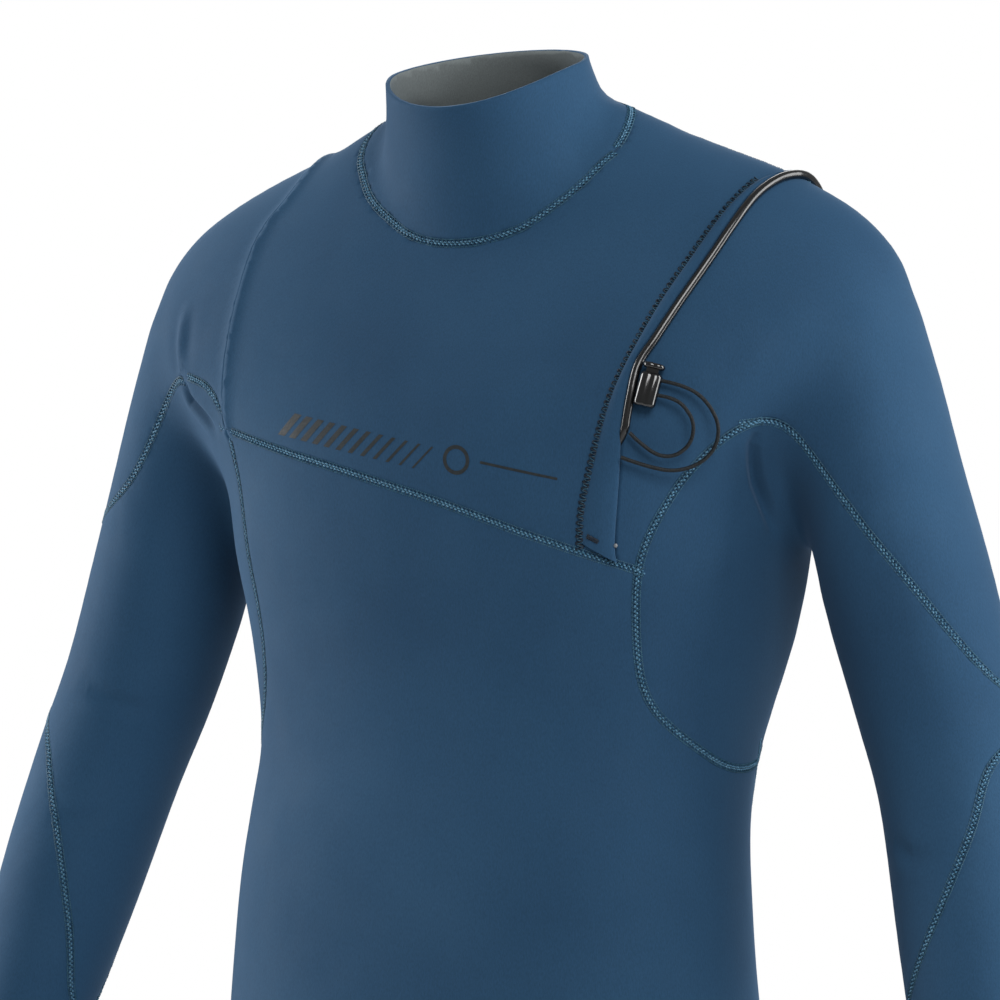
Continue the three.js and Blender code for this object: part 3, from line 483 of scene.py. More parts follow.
skin.normal_update()
foldSkin = BVHTree.FromBMesh(skin)
for points, depth, width in folds:
    path = pathPoints([frontHit(foldSkin, *point)[0] for point in points], 0.002)
    foldTree = KDTree(len(path))
    for i, point in enumerate(path):
        foldTree.insert(point, i)
    foldTree.balance()
    for reach in (3.0, 1.8):
        close = {vert for vert in skin.verts if foldTree.find(vert.co)[2] / mm < reach * width}
        bmesh.ops.subdivide_edges(skin, edges=[e for e in skin.edges if e.verts[0] in close and e.verts[1] in close], cuts=1,
                                  use_grid_fill=True)
    skin.normal_update()
    moves = []
    for vert in skin.verts:
        _, k, far = foldTree.find(vert.co)
        far /= mm
        if far < 3 * width:
            fade = math.sin(math.pi * (k + 0.5) / len(path)) ** 0.7
            dip = math.exp(-(far / width) ** 2) - 0.35 * math.exp(-((far - 1.7 * width) / width) ** 2)
            moves.append((vert, vert.normal * (-depth * fade * dip) * mm))
    for vert, move in moves:
        vert.co += move

skinTree = BVHTree.FromBMesh(skin)


def onSkin(point, lift=0.0):
    spot, normal, _, _ = skinTree.find_nearest(point)
    return spot + normal * lift, normal


# ---- seams

seamLines = {  # view, where, line
    "chest": ("front", "front", [(-151, 1255), (-100, 1241), (-53, 1229), (10, 1211), (68, 1191), (124, 1171.5)]),
    "left_side": ("front", "both", [
        (183, 1256), (170, 1248), (150, 1227), (134, 1200), (124, 1175), (120, 1145), (120, 1112), (127, 1090),
        (145, 1069), (158, 1054), (180, 1038)]),
    "right_side": ("front", "both", [
        (-183, 1286), (-167, 1281), (-155, 1268), (-148, 1252), (-144, 1225), (-141, 1190), (-136, 1150),
        (-134, 1112), (-138, 1088), (-149, 1068), (-159, 1053), (-180, 1038)]),
    "left_sleeve": ("front", "both", [
        (182, 1256), (194, 1257), (207, 1243), (226, 1220), (248, 1192), (272, 1162), (298, 1127), (330, 1085)]),
    "right_sleeve": ("front", "both", [
        (-183, 1286), (-195, 1287), (-212, 1277), (-224, 1257), (-238, 1232), (-256, 1214), (-300, 1190)]),
    "left_forearm": ("front", "both", [
        (350, 1100), (318, 1068), (312, 1030), (300, 990), (286, 955), (272, 920), (250, 878)]),
    "right_forearm": ("front", "both", [
        (-350, 1100), (-322, 1082), (-306, 1060), (-296, 1031), (-287, 1000), (-281, 968), (-278, 937), (-279, 908),
        (-279, 880), (-275, 850)]),
    "right_armhole": ("front", "both", [
        (-149, 1254), (-150, 1283), (-152, 1320), (-151, 1354), (-145, 1378), (-134, 1398), (-122, 1440)]),
    "left_back_armhole": ("front", "back", [
        (171, 1248), (172, 1285), (175, 1330), (178, 1370), (180, 1402), (181, 1425)]),
    "back_yoke": ("front", "back", [(-146, 1228), (-70, 1206), (0, 1200), (70, 1206), (152, 1229)]),
    "hip": ("front", "fore", [
        (-185, 862), (-150, 826), (-100, 784), (-45, 752), (0, 741), (45, 752), (100, 784), (150, 826), (185, 862)]),
    "back_hip": ("front", "aft", [(-200, 905), (-90, 896), (0, 890), (90, 896), (200, 905)]),
    "centre_back": ("front", "aft", [(0, 890), (0, 815), (0, 740)]),
    "collar": ("side", 104, [
        (-90, 1335), (-64, 1361), (-52, 1381), (-33, 1408), (-7, 1436), (14, 1447), (50, 1455), (110, 1462)]),
    "outer_side": ("side", 205, [(24, 1069), (36, 1000), (36, 900), (24, 745), (14, 560), (6, 405), (12, 260), (5, -10)]),
    "shoulder": ("plane", None, None),
    "gusset": ("box", None, None),
    "knee_top": ("level", "fore", 478),
    "knee_bottom": ("level", "fore", 336),
    "knee_back": ("level", "aft", 425),
    "ankle": ("level", "both", 30),
    "left_wrist": ("wrist", 1, None),
    "right_wrist": ("wrist", -1, None),
}
tubeRoute = [
    (170, 94, 1338), (178, 78, 1366), (184, 50, 1388), (186, 22, 1400), (180, 4, 1399), (172, -15, 1388),
    (164, -35, 1368), (155, -48, 1347), (144, -62, 1324), (134, -74, 1303), (127, -81, 1289), (124, -86, 1271),
    (122, -90, 1253)]
flapLow = [(112.6, 1177), (112, 1184), (113, 1197), (116, 1224)]
flapHem = [(94, 1188), (96, 1208), (104, 1240), (112, 1270), (121, 1296), (133, 1327), (145, 1352), (157, 1378),
           (166, 1396)]


def smoothLine(points, steps=8):  # a curve through points in a view
    rows = np.array(points, float)
    if len(rows) < 3:
        return rows
    line = []
    for i in range(len(rows) - 1):
        before = rows[i - 1] if i > 0 else rows[0]
        after = rows[i + 2] if i < len(rows) - 2 else rows[-1]
        for k in range(steps):
            t = k / steps
            line.append(0.5 * (2 * rows[i] + (rows[i + 1] - before) * t
                               + (2 * before - 5 * rows[i] + 4 * rows[i + 1] - after) * t * t
                               + (3 * rows[i] - before - 3 * rows[i + 1] + after) * t**3))
    return np.array(line + [rows[-1]])


def shiftLine(line, step):  # to the left as it runs
    line = np.array(line, float)
    ahead = np.vstack([line[1:], line[-1:]]) - np.vstack([line[:1], line[:-1]])
    ahead /= np.linalg.norm(ahead, axis=1, keepdims=True)
    return line + np.stack([-ahead[:, 1], ahead[:, 0]], 1) * step


tubeFront = [(x, z) for x, y, z in tubeRoute[3:]][::-1]
flapEdge = flapLow + [tuple(point) for point in shiftLine(tubeFront, 3.2)]
seamLines["flap"] = ("front", "front", flapEdge)


def signedDistance(points, line):  # side, distance and place along a line in a view
    a, b = line[:-1], line[1:]
    step = b - a
    length = np.linalg.norm(step, axis=1)
    start = np.concatenate([[0], np.cumsum(length)[:-1]])
    toPoint = points[:, None] - a[None]
    t = (toPoint * step).sum(2) / length**2
    inner = np.clip(t, 0, 1)
    off = toPoint - inner[..., None] * step
    far = np.linalg.norm(off, axis=2)
    best = far.argmin(1)
    pick = np.arange(len(points))
    cross = step[best, 0] * toPoint[pick, best, 1] - step[best, 1] * toPoint[pick, best, 0]
    run = start[best] + t[pick, best] * length[best]
    inEnds = (run > -2.5) & (run < length.sum() + 2.5)
    return np.sign(cross) * np.abs(cross / length[best]) if len(line) == 2 else np.sign(cross) * far[pick, best], inEnds


sideLine = smoothLine(seamLines["outer_side"][2])


def sideSeamY(z):
    return np.interp(z, sideLine[::-1, 1], sideLine[::-1, 0])


def seamField(kind, where, line, co):  # distance from a seam in mm, and where it counts
    x, y, z = co.T
    field = np.full(len(co), 99.0)
    good = np.zeros(len(co), bool)
    clearOfGusset = ~((np.abs(x) < 30) & (y > -62) & (y < 86) & (z > 668) & (z < 770)) & (z > 30)
    if kind in ("front", "side"):
        flat = np.stack([x if kind == "front" else y, z], 1)
        path = smoothLine(line)
        low, high = path.min(0) - 16, path.max(0) + 16
        box = ((flat > low) & (flat < high)).all(1)
        field[box], ends = signedDistance(flat[box], path)
        good[box] = ends
        if where == "front":
            good &= y < 24
        elif where == "back":
            good &= y > 24
        elif where == "fore":
            good &= (y < sideSeamY(z)) & clearOfGusset
        elif where == "aft":
            good &= (y > sideSeamY(z)) & clearOfGusset
        elif kind == "side":
            good &= (np.abs(x) < where) & clearOfGusset
    elif kind == "plane":
        field = y - 24
        good = (x > -136) & (x < 185) & (z > 1385) & (z < 1453)
    elif kind == "box":
        field = np.maximum.reduce([np.abs(x) - 30, np.abs(y - 12) - 74, z - 770, 668 - z])
        good = (np.abs(x) < 60) & (z > 640) & (z < 800)
    elif kind == "level":
        field = z - line
        good = np.abs(x) < 200
        good &= (y < sideSeamY(z)) if where == "fore" else (y > sideSeamY(z)) if where == "aft" else True
    else:
        end, above = np.array(shape["arm"][-1][:3], float), np.array(shape["arm"][-2][:3], float)
        up = (above - end) / np.linalg.norm(above - end)
        middle = end + up * 30
        field = (co * [where, 1, 1] - middle) @ up
        good = (x * where > 240) & (z < 900)
    return field, good & (np.abs(field) < 16)


home = skin.verts.layers.float_vector.new("home")
seamEdge = skin.edges.layers.int.new("seam edge")
panelOf = skin.faces.layers.int.new("panel")
grooveHalf = 2.4


def chainsOf(edges):  # ordered runs of points along cut edges
    links = {}
    for edge in edges:
        a, b = edge.verts
        links.setdefault(a, []).append(b)
        links.setdefault(b, []).append(a)
    used, chains = set(), []
    starts = [v for v in links if len(links[v]) == 1] + list(links)
    for start in starts:
        if start in used:
            continue
        run, here, heading = [start], start, None
        used.add(start)
        while True:
            options = [v for v in links[here] if v not in used]
            if not options:
                break
            if heading is not None:
                options.sort(key=lambda v: -(v[home] - here[home]).normalized().dot(heading))
            ahead = options[0]
            heading = (ahead[home] - here[home]).normalized()
            used.add(ahead)
            run.append(ahead)
            here = ahead
        closed = len(run) > 8 and run[0] in links[run[-1]]
        points = [v[home].copy() for v in run] + ([run[0][home].copy()] if closed else [])
        if sum((b - a).length for a, b in zip(points, points[1:])) > 0.012:
            chains.append(points)
    return chains


seamChains = {}
for name, (kind, where, line) in seamLines.items():
    for vert in skin.verts:
        vert[home] = vert.co
    co = np.array([vert.co[:] for vert in skin.verts]) / mm
    co[:, 1] -= shiftY / mm
    field, good = seamField(kind, where, line, co)
    inRange = set()
    for vert, value, ok in zip(list(skin.verts), field, good):
        if ok:
            vert.co = (0, 0, value * mm)
            inRange.add(vert)
    offsets = (0.0,) if kind in ("box",) else (0.0, grooveHalf, -grooveHalf)
    seamVerts = set()
    for offset in offsets:
        faces = {face for vert in inRange for face in vert.link_faces if all(v in inRange for v in face.verts)}
        edges = {edge for face in faces for edge in face.edges}
        cut = bmesh.ops.bisect_plane(skin, geom=list(inRange) + list(edges) + list(faces), dist=0.0004,
                                     plane_co=(0, 0, offset * mm), plane_no=(0, 0, 1))
        inRange |= {item for item in cut["geom_cut"] if isinstance(item, bmesh.types.BMVert)}
        if offset == 0.0:
            seamVerts = {vert for vert in inRange if abs(vert.co.z) <= 0.00041}
    edges = {edge for vert in seamVerts for edge in vert.link_edges if edge.other_vert(vert) in seamVerts}
    for edge in edges:
        edge[seamEdge] = 1
    seamChains[name] = chainsOf(edges)
    for vert in inRange:
        vert.co = vert[home]
    print("seam", name, len(edges), [round(sum((b - a).length for a, b in zip(c, c[1:])), 3) for c in seamChains[name]])

# ---- groove along each seam, and a soft raised line on the right shoulder

raised = {"right_armhole": 0.9}
plain = ("flap",)
dents, ridges = [], []
for name, chains in seamChains.items():
    for chain in chains:
        points = pathPoints(chain, 0.0015)
        if name in raised:
            ridges += [p for p in points if p.y < 24 * mm + shiftY]
            dents += [p for p in points if p.y >= 24 * mm + shiftY]
        elif name not in plain:
            dents += points


def treeOf(points):
    made = KDTree(len(points))
    for i, point in enumerate(points):
        made.insert(point, i)
    made.balance()
    return made


skin.normal_update()
dentTree, ridgeTree = treeOf(dents), treeOf(ridges)
moves = []
for vert in skin.verts:
    dent = dentTree.find(vert.co)[2] / mm
    ridge = ridgeTree.find(vert.co)[2] / mm
    lift = -0.85 * max(0.0, 1 - dent / grooveHalf) + 2.1 * math.exp(-(ridge / 3.8) ** 2)
    if abs(lift) > 0.01:
        moves.append((vert, vert.normal * lift * mm))
for vert, move in moves:
    vert.co += move
print("grooves", len(moves))

# ---- panels

panelNames = ["collar", "chest_flap_panel", "upper_back_panel", "front_torso_panel", "back_torso_panel", "crotch_gusset"]
for side in ("left", "right"):
    panelNames += [f"{side}_{part}" for part in (
        "shoulder_panel", "underarm_side_panel", "thigh_front_panel", "thigh_back_panel", "knee_pad", "shin_panel",
        "calf_panel", "ankle_cuff", "forearm_panel", "wrist_cuff")]
cadTrees = {}
for name in panelNames:
    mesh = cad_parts[name].data
    cadTrees[name] = BVHTree.FromPolygons([v.co[:] for v in mesh.vertices], [p.vertices[:] for p in mesh.polygons])

cadBounds = {name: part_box(name) for name in panelNames}


def nearestPanel(point):
    best, least = 0, 9.0
    for k, name in enumerate(panelNames):
        low, high = cadBounds[name]
        if all(low[i] - 0.02 < point[i] < high[i] + 0.02 for i in range(3)):
            far = cadTrees[name].find_nearest(point)[3]
            if far is not None and far < least:
                best, least = k, far
    return best


# faces clear of every seam take the nearest panel, the rest follow their neighbours up to the seam
seamTree = treeOf([p for chains in seamChains.values() for chain in chains for p in pathPoints(chain, 0.003)])
label, queue = {}, deque()
for face in skin.faces:
    centre = face.calc_center_median()
    if seamTree.find(centre)[2] > (0.022 if centre.x < -0.22 and 0.87 < centre.z < 1.1 else 0.0075):
        label[face] = nearestPanel(centre)
        queue.append(face)
while queue:
    face = queue.popleft()
    for edge in face.edges:
        if not edge[seamEdge]:
            for other in edge.link_faces:
                if other not in label:
                    label[other] = label[face]
                    queue.append(other)
for face in skin.faces:
    face[panelOf] = label[face] if face in label else nearestPanel(face.calc_center_median())
counts = [0] * len(panelNames)
for face in skin.faces:
    counts[face[panelOf]] += 1
print("panel faces", dict(zip(panelNames, counts)))

panels = {}
wall = {"panel": 0.0035, "collar": 0.0026}
whole = bpy.data.meshes.new("whole skin")
skin.to_mesh(whole)


def partOf(keep):  # the faces of the whole skin that keep() picks
    part = bmesh.new()
    part.from_mesh(whole)
    layer = part.faces.layers.int["panel"]
    bmesh.ops.delete(part, geom=[face for face in part.faces if not keep(face, layer)], context="FACES")
    return part


for k, name in enumerate(panelNames):
    part = partOf(lambda face, layer, k=k: face[layer] == k)
    for face in part.faces:
        face.smooth = True
    mesh = bpy.data.meshes.new(name + "_cloth")
    part.to_mesh(mesh)
    part.free()
    panel = bpy.data.objects.new(name + "_cloth", mesh)
    bpy.context.scene.collection.objects.link(panel)
    mesh.materials.append(kneeKnit if "knee" in name else jersey)
    mesh.materials.append(lining)
    thick = panel.modifiers.new("wall", "SOLIDIFY")
    thick.thickness = wall["collar"] if name == "collar" else wall["panel"]
    thick.offset = -1
    thick.use_rim = True
    thick.material_offset = 1
    thick.material_offset_rim = 0
    thick.use_quality_normals = True
    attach(panel, "suit")
    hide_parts(name)
    panels[name] = panel
print("panels made")



# ---- threads along the seams

stitch = {"pitch": 2.7, "rows": 2.15, "centre": 0.42, "side": 0.36, "cross": 0.4, "past": 4.5}


def evenly(points, step):  # points one step apart along a run, with its jitter taken out
    path = np.array([p[:] for p in points])
    if np.linalg.norm(path[0] - path[-1]) > 0.01:
        ends = [path[0] - path[min(4, len(path) - 1)], path[-1] - path[max(-5, -len(path))]]
        first, last = [way / np.linalg.norm(way) * stitch["past"] * mm for way in ends]
        path = np.vstack([path[:1] + first, path, path[-1:] + last])
    for spacing, rounds in ((0.004, 7), (step, 0)):
        length = np.concatenate([[0], np.cumsum(np.linalg.norm(np.diff(path, axis=0), axis=1))])
        count = max(2, int(length[-1] / spacing))
        at = np.linspace(0, length[-1], count + 1)
        path = np.stack([np.interp(at, length, path[:, k]) for k in range(3)], 1)
        for _ in range(rounds):
            path[1:-1] = (path[:-2] + 2 * path[1:-1] + path[2:]) / 4
    return [Vector(p) for p in path]


def seamFrames(points, step, surface=None):  # place, along, aside and out at each stitch
    path = evenly(points, step)
    frames = []
    for i, point in enumerate(path):
        spot, out, _, _ = (surface or skinTree).find_nearest(point)
        along = (path[min(i + 1, len(path) - 1)] - path[max(i - 1, 0)]).normalized()
        along = (along - out * along.dot(out)).normalized()
        frames.append((spot, along, out.cross(along), out))
    return frames


def flatlock(points):
    frames = seamFrames(points, stitch["pitch"] * mm)
    centre, sides, cross = [], {1: [], -1: []}, []
    half = stitch["pitch"] / 2
    for i, (spot, along, aside, out) in enumerate(frames[:-1]):
        wobble = random.uniform(-0.12, 0.12)

        def at(a, s, o):
            return spot + (along * a + aside * s + out * o) * mm
        for start, row in ((0, 0.62), (half, -0.62)):
            centre += [at(start, row, -0.9), at(start + 0.25, row + 0.15 + wobble, 0.1), at(start + 0.85, row - 0.15 + wobble, 0.1), at(start + 1.05, row, -0.9)]
        for side in (1, -1):
            row = stitch["rows"] * side
            sides[side] += [at(0, row, -0.45), at(half * 0.6, row + 0.25 * side, 0.12 + wobble / 3), at(half, row, -0.45), at(half * 1.6, row + 0.25 * side, 0.12)]
        cross += [at(0.1, stitch["rows"], 0.0), at(half / 2, 0, -0.35), at(half, -stitch["rows"], 0.0), at(1.5 * half, 0, -0.35)]
    return centre, sides[1], sides[-1], cross


stitchGroups = {
    "stitches_front": ("chest", "left_side", "right_side", "hip", "collar"),
    "stitches_back": ("back_yoke", "left_back_armhole", "back_hip", "centre_back", "shoulder"),
    "stitches_arms": ("left_sleeve", "left_forearm", "right_sleeve", "right_forearm", "left_wrist", "right_wrist"),
    "stitches_legs": ("outer_side", "gusset"),
    "stitches_knees": ("knee_top", "knee_bottom", "knee_back", "ankle"),
}
threadKinds = (("centre", "centre", threadLight), ("rows", "side", threadTeal), ("cross", "cross", threadTeal))
for group, names in stitchGroups.items():
    found = [flatlock(chain) for name in names for chain in seamChains[name]]
    for kind, size, thread in threadKinds:
        lines = [(line, 0) for centre, left, other, cross in found
                 for line in ({"centre": [centre], "rows": [left, other], "cross": [cross]}[kind]) if len(line) > 3]
        threads = curveObject(group + "_" + kind, lines, stitch[size] * mm, [thread], smooth=False, sides=1 if kind == "centre" else 0)
        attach(threads, "suit")
print("stitches sewn")


# ---- flap hem, raised over the shoulder panel

hem = {"columns": [  # across the hem, past its edge, height above the skin
    (0.0, 0.0, 0.05), (0.06, 0.0, 0.6), (0.14, 0.0, 1.5), (0.28, 0.0, 2.5), (0.5, 0.0, 3.2), (0.72, 0.0, 3.4),
    (0.9, 0.0, 3.2), (1.0, -0.3, 2.9), (1.0, 0.25, 2.4), (1.0, 0.5, 1.6), (1.0, 0.4, 0.7), (1.0, -0.4, 0.15)], "rows": 120}


def frontPoint(x, z, lift=0.0):  # the skin's front at a place in the front view
    spot, normal, _, _ = frontHit(skinTree, x, z)
    return spot + normal * lift * mm, normal


def evenLine(points, count):
    line = smoothLine(points)
    length = np.concatenate([[0], np.cumsum(np.linalg.norm(np.diff(line, axis=0), axis=1))])
    at = np.linspace(0, length[-1], count)
    return np.stack([np.interp(at, length, line[:, k]) for k in range(2)], 1)


hemLeft, hemRight = evenLine(flapHem, hem["rows"] + 1), evenLine(flapEdge, hem["rows"] + 1)
cloth3 = bmesh.new()
grid = bmesh.ops.create_grid(cloth3, x_segments=len(hem["columns"]) - 1, y_segments=hem["rows"], size=1.0)["verts"]
for vert in grid:
    column = round((vert.co.x + 1) / 2 * (len(hem["columns"]) - 1))
    row = round((vert.co.y + 1) / 2 * hem["rows"])
    across, past, height = hem["columns"][column]
    a, b = hemLeft[row], hemRight[row]
    spot = a + (b - a) * across + (b - a) / np.linalg.norm(b - a) * past
    vert.co = frontPoint(spot[0], spot[1], height)[0]
bmesh.ops.recalc_face_normals(cloth3, faces=cloth3.faces)
if sum(face.normal.y for face in cloth3.faces) > 0:
    bmesh.ops.reverse_faces(cloth3, faces=cloth3.faces)


hemTree = BVHTree.FromBMesh(cloth3)


def finishMesh(bm, name, materials, body="suit", replaces=(), smooth=True):
    for face in bm.faces:
        face.smooth = smooth
    mesh = bpy.data.meshes.new(name)
    bm.to_mesh(mesh)
    bm.free()
    for material in materials:
        mesh.materials.append(material)
    made = bpy.data.objects.new(name, mesh)
    bpy.context.scene.collection.objects.link(made)
    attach(made, body)
    if replaces:
        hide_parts(*replaces)
    return made


finishMesh(cloth3, "flap_hem_fold", [jersey], replaces=["flap_hem"])


def zigzag(points, pitch, half, lift, dip=0.5, surface=None):
    frames = seamFrames(points, pitch * mm, surface)
    line = []
    for spot, along, aside, out in frames[:-1]:
        line += [spot + aside * half * mm + out * (lift - dip) * mm,
                 spot + (along * pitch * 0.12 + aside * half * 0.8) * mm + out * lift * mm,
                 spot + (along * pitch * 0.38 - aside * half * 0.8) * mm + out * lift * mm,
                 spot + (along * pitch * 0.5 - aside * half) * mm + out * (lift - dip) * mm,
                 spot + (along * pitch * 0.62 - aside * half * 0.8) * mm + out * lift * mm,
                 spot + (along * pitch * 0.88 + aside * half * 0.8) * mm + out * lift * mm]
    return line


hemPath = [frontPoint(x, z)[0] for x, z in evenLine(flapHem, 200)]
tacks = [[(97, 1192.5), (107.5, 1187)], [(98.5, 1183.5), (109.5, 1179.5)]]
hemLines = [(zigzag(hemPath, 3.9, 2.3, 0.7), 0)]
for start, end in tacks:
    tackPath = [frontHit(hemTree, *(np.array(start) * (1 - t) + np.array(end) * t))[0] for t in np.linspace(0.2, 0.8, 9)]
    hemLines.append((zigzag(tackPath, 1.2, 1.1, 0.3, surface=hemTree), 0))
hemThread = curveObject("flap_hem_stitches", hemLines, 0.0005, [threadDark], smooth=False, sides=1)
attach(hemThread, "suit")
flecks = curveObject("flap_hem_flecks", [(zigzag(hemPath, 3.1, 1.7, 0.9), 0)], 0.00028, [threadTeal], smooth=False, sides=0)
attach(flecks, "suit")
print("flap hem made")


# ---- shoulder tube, its anchor and the bead

tube = {"radius": 2.6, "lift": -0.1, "samples": 34}
tubeLine = np.array(tubeRoute, float)
dense = np.concatenate([[0], np.cumsum(np.linalg.norm(np.diff(tubeLine, axis=0), axis=1))])
tubePoints = []
for k in range(tube["samples"]):
    u = k / (tube["samples"] - 1) * (len(tubeRoute) - 1)
    tubePoints.append(onSkin(place(*between(tubeRoute, u)), (tube["radius"] + tube["lift"]) * mm)[0])
tubePoints.append(onSkin(place(118.5, -90, 1245), 0.2 * mm)[0])
tubePoints.append(onSkin(place(112.5, -91, 1237), -0.6 * mm)[0])
shoulderTube = curveObject("shoulder_tube_rubber", [(tubePoints, 0)], tube["radius"] * mm, [tubeRubber], sides=6)
shoulderTube.data.splines[0].use_smooth = True
for k, size in ((-1, 0.5), (-2, 0.75)):
    shoulderTube.data.splines[0].bezier_points[k].radius = size
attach(shoulderTube, "suit")
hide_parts("shoulder_tube")

low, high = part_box("shoulder_tube_anchor")
anchor = bmesh.new()
bmesh.ops.create_cube(anchor, size=1.0)
bmesh.ops.subdivide_edges(anchor, edges=anchor.edges, cuts=3, use_grid_fill=True)
bmesh.ops.bevel(anchor, geom=[e for e in anchor.edges if e.calc_face_angle(0) > 1], affect="EDGES", offset=0.12, segments=3,
                profile=0.5, material=-1)
end = tubePoints[0]
alongTube = (tubePoints[0] - tubePoints[1]).normalized()
outTube = onSkin(end)[1]
outTube = (outTube - alongTube * outTube.dot(alongTube)).normalized()
turnAnchor = Matrix((alongTube, outTube.cross(alongTube), outTube)).transposed().to_4x4()
bmesh.ops.transform(anchor, verts=anchor.verts, matrix=Matrix.Translation(end + alongTube * 4 * mm - outTube * 0.6 * mm) @ turnAnchor @ Matrix.Diagonal((13 * mm, 10 * mm, 6.6 * mm, 1)))
finishMesh(anchor, "shoulder_tube_tab", [jersey], replaces=["shoulder_tube_anchor"])

beadLow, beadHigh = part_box("flap_corner_bead")
bead = bmesh.new()
bmesh.ops.create_uvsphere(bead, u_segments=20, v_segments=12, radius=1.3 * mm, matrix=Matrix.Translation((beadLow + beadHigh) / 2))
finishMesh(bead, "flap_corner_pearl", [beadMetal], replaces=["flap_corner_bead"])
print("tube made")


# ---- cord lock

lock = {"lobe": 4.4, "apart": 4.0, "height": 20.0, "bevel": 2.2, "holes": (17.0, 8.4), "hole": 1.6, "bore": (3.75, 2.7), "floor": 1.6,
        "stem": (3.6, 2.55), "stemFrom": 6.0, "headFrom": 22.3, "head": 3.3}


def ribbedBar(grow, height, low, bevel):  # two round ribs side by side
    bm = bmesh.new()
    radius, half = (lock["lobe"] + grow) * mm, lock["apart"] / 2 * mm
    waist = math.acos(-half / radius)
    for side in (1, -1):
        depth = radius * math.sin(waist)
        first = bm.verts.new((0, -depth * side, 0))
        bmesh.ops.spin(bm, geom=[first], cent=(side * half, 0, 0), axis=(0, 0, 1), angle=2 * waist, steps=22)
    bmesh.ops.remove_doubles(bm, verts=bm.verts, dist=1e-5)
    face = bmesh.ops.contextual_create(bm, geom=bm.edges[:])["faces"]
    top = bmesh.ops.extrude_face_region(bm, geom=face)["geom"]
    bmesh.ops.translate(bm, verts=[v for v in top if isinstance(v, bmesh.types.BMVert)], vec=(0, 0, height * mm))
    bmesh.ops.recalc_face_normals(bm, faces=bm.faces)
    edges = [e for e in bm.edges if abs(e.verts[0].co.z - e.verts[1].co.z) < 1e-6]
    bmesh.ops.bevel(bm, geom=edges, affect="EDGES", offset=bevel * mm, segments=4, profile=0.5, material=-1)
    bmesh.ops.translate(bm, verts=bm.verts, vec=(0, 0, low * mm))
    return bm


def boxOf(half, low, high):
    bm = bmesh.new()
    bmesh.ops.create_cube(bm, size=1.0)
    bmesh.ops.transform(bm, verts=bm.verts, matrix=Matrix.Translation((0, 0, (low + high) / 2 * mm))
                        @ Matrix.Diagonal((2 * half[0] * mm, 2 * half[1] * mm, (high - low) * mm, 1)))
    return bm


def tempObject(bm, name):
    mesh = bpy.data.meshes.new(name)
    bm.to_mesh(mesh)
    bm.free()
    made = bpy.data.objects.new(name, mesh)
    bpy.context.scene.collection.objects.link(made)
    return made


def carve(base, cutters, join=()):
    for operation, others in (("UNION", join), ("DIFFERENCE", cutters)):
        for other in others:
            modifier = base.modifiers.new("carve", "BOOLEAN")
            modifier.operation, modifier.object, modifier.solver = operation, other, "EXACT"
    bpy.context.view_layer.update()
    bm = bmesh.new()
    bm.from_object(base, bpy.context.evaluated_depsgraph_get())
    for item in (base, *cutters, *join):
        bpy.data.objects.remove(item)
    return bm


def crossHole(z, radius):
    bm = bmesh.new()
    bmesh.ops.create_cone(bm, cap_ends=True, segments=24, radius1=radius * mm, radius2=radius * mm, depth=30 * mm,
                          matrix=Matrix.Translation((0, 0, z * mm)) @ Matrix.Rotation(math.radians(90), 4, "Y"))
    return tempObject(bm, "hole")


def lockPiece(bm, name, materials, body, angle=35):
    bmesh.ops.transform(bm, verts=bm.verts, matrix=lockMatrix)
    made = finishMesh(bm, name + "_moulding", materials, body=body, replaces=[name])
    sharp = bmesh.new()
    sharp.from_mesh(made.data)
    for edge in sharp.edges:
        edge.smooth = len(edge.link_faces) != 2 or edge.calc_face_angle() < math.radians(angle)
    sharp.to_mesh(made.data)
    sharp.free()
    return made


body = carve(tempObject(ribbedBar(0, lock["height"], 0, lock["bevel"]), "body"),
             [tempObject(boxOf(lock["bore"], lock["floor"], 40), "bore")] + [crossHole(z, lock["hole"]) for z in lock["holes"]])
lockPiece(body, "cord_lock_body", [lockPlastic], "cord_lock")
stem = tempObject(boxOf(lock["stem"], lock["stemFrom"], lock["headFrom"] + 1), "stem")
slots = []
for z in lock["holes"]:
    slotCut = boxOf((20, lock["hole"]), z - lock["hole"], z + lock["hole"] + 2)
    slots.append(tempObject(slotCut, "slot"))
button = carve(tempObject(ribbedBar(0, lock["head"], lock["headFrom"], 1.55), "head"), slots, [stem])
lockPiece(button, "cord_lock_button", [lockPlastic], "lock_button")

coil = []
for k in range(3 * 12 + 1):
    angle = 2 * math.pi * k / 12
    coil.append(lockMatrix @ (Vector((1.7 * math.cos(angle), 1.7 * math.sin(angle), 2.2 + 3.2 * k / 36)) * mm))
springCurve = curveObject("cord_lock_spring", [(coil, 0)], 0.00025, [springSteel], sides=2)
bpy.context.view_layer.update()
springMesh = bpy.data.meshes.new_from_object(springCurve.evaluated_get(bpy.context.evaluated_depsgraph_get()))
bpy.data.objects.remove(springCurve)
spring = bpy.data.objects.new("cord_lock_coil", springMesh)
bpy.context.scene.collection.objects.link(spring)
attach(spring, "cord_lock")
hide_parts("cord_lock_spring")
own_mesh(spring)
print("lock made")


# ---- inner barrier behind the flap

barrier = {"inset": 5.2, "thick": 2.0, "outline": [
    (-138, 1262), (-60, 1242), (112, 1186), (117, 1210), (127, 1262), (150, 1318), (160, 1368), (120, 1386), (70, 1366),
    (0, 1338), (-70, 1366), (-112, 1384), (-136, 1350)]}


def insideOutline(x, z, outline):
    inside = False
    for (x1, z1), (x2, z2) in zip(outline, outline[1:] + outline[:1]):
        if (z1 > z) != (z2 > z) and x < x1 + (z - z1) / (z2 - z1) * (x2 - x1):
            inside = not inside
    return inside


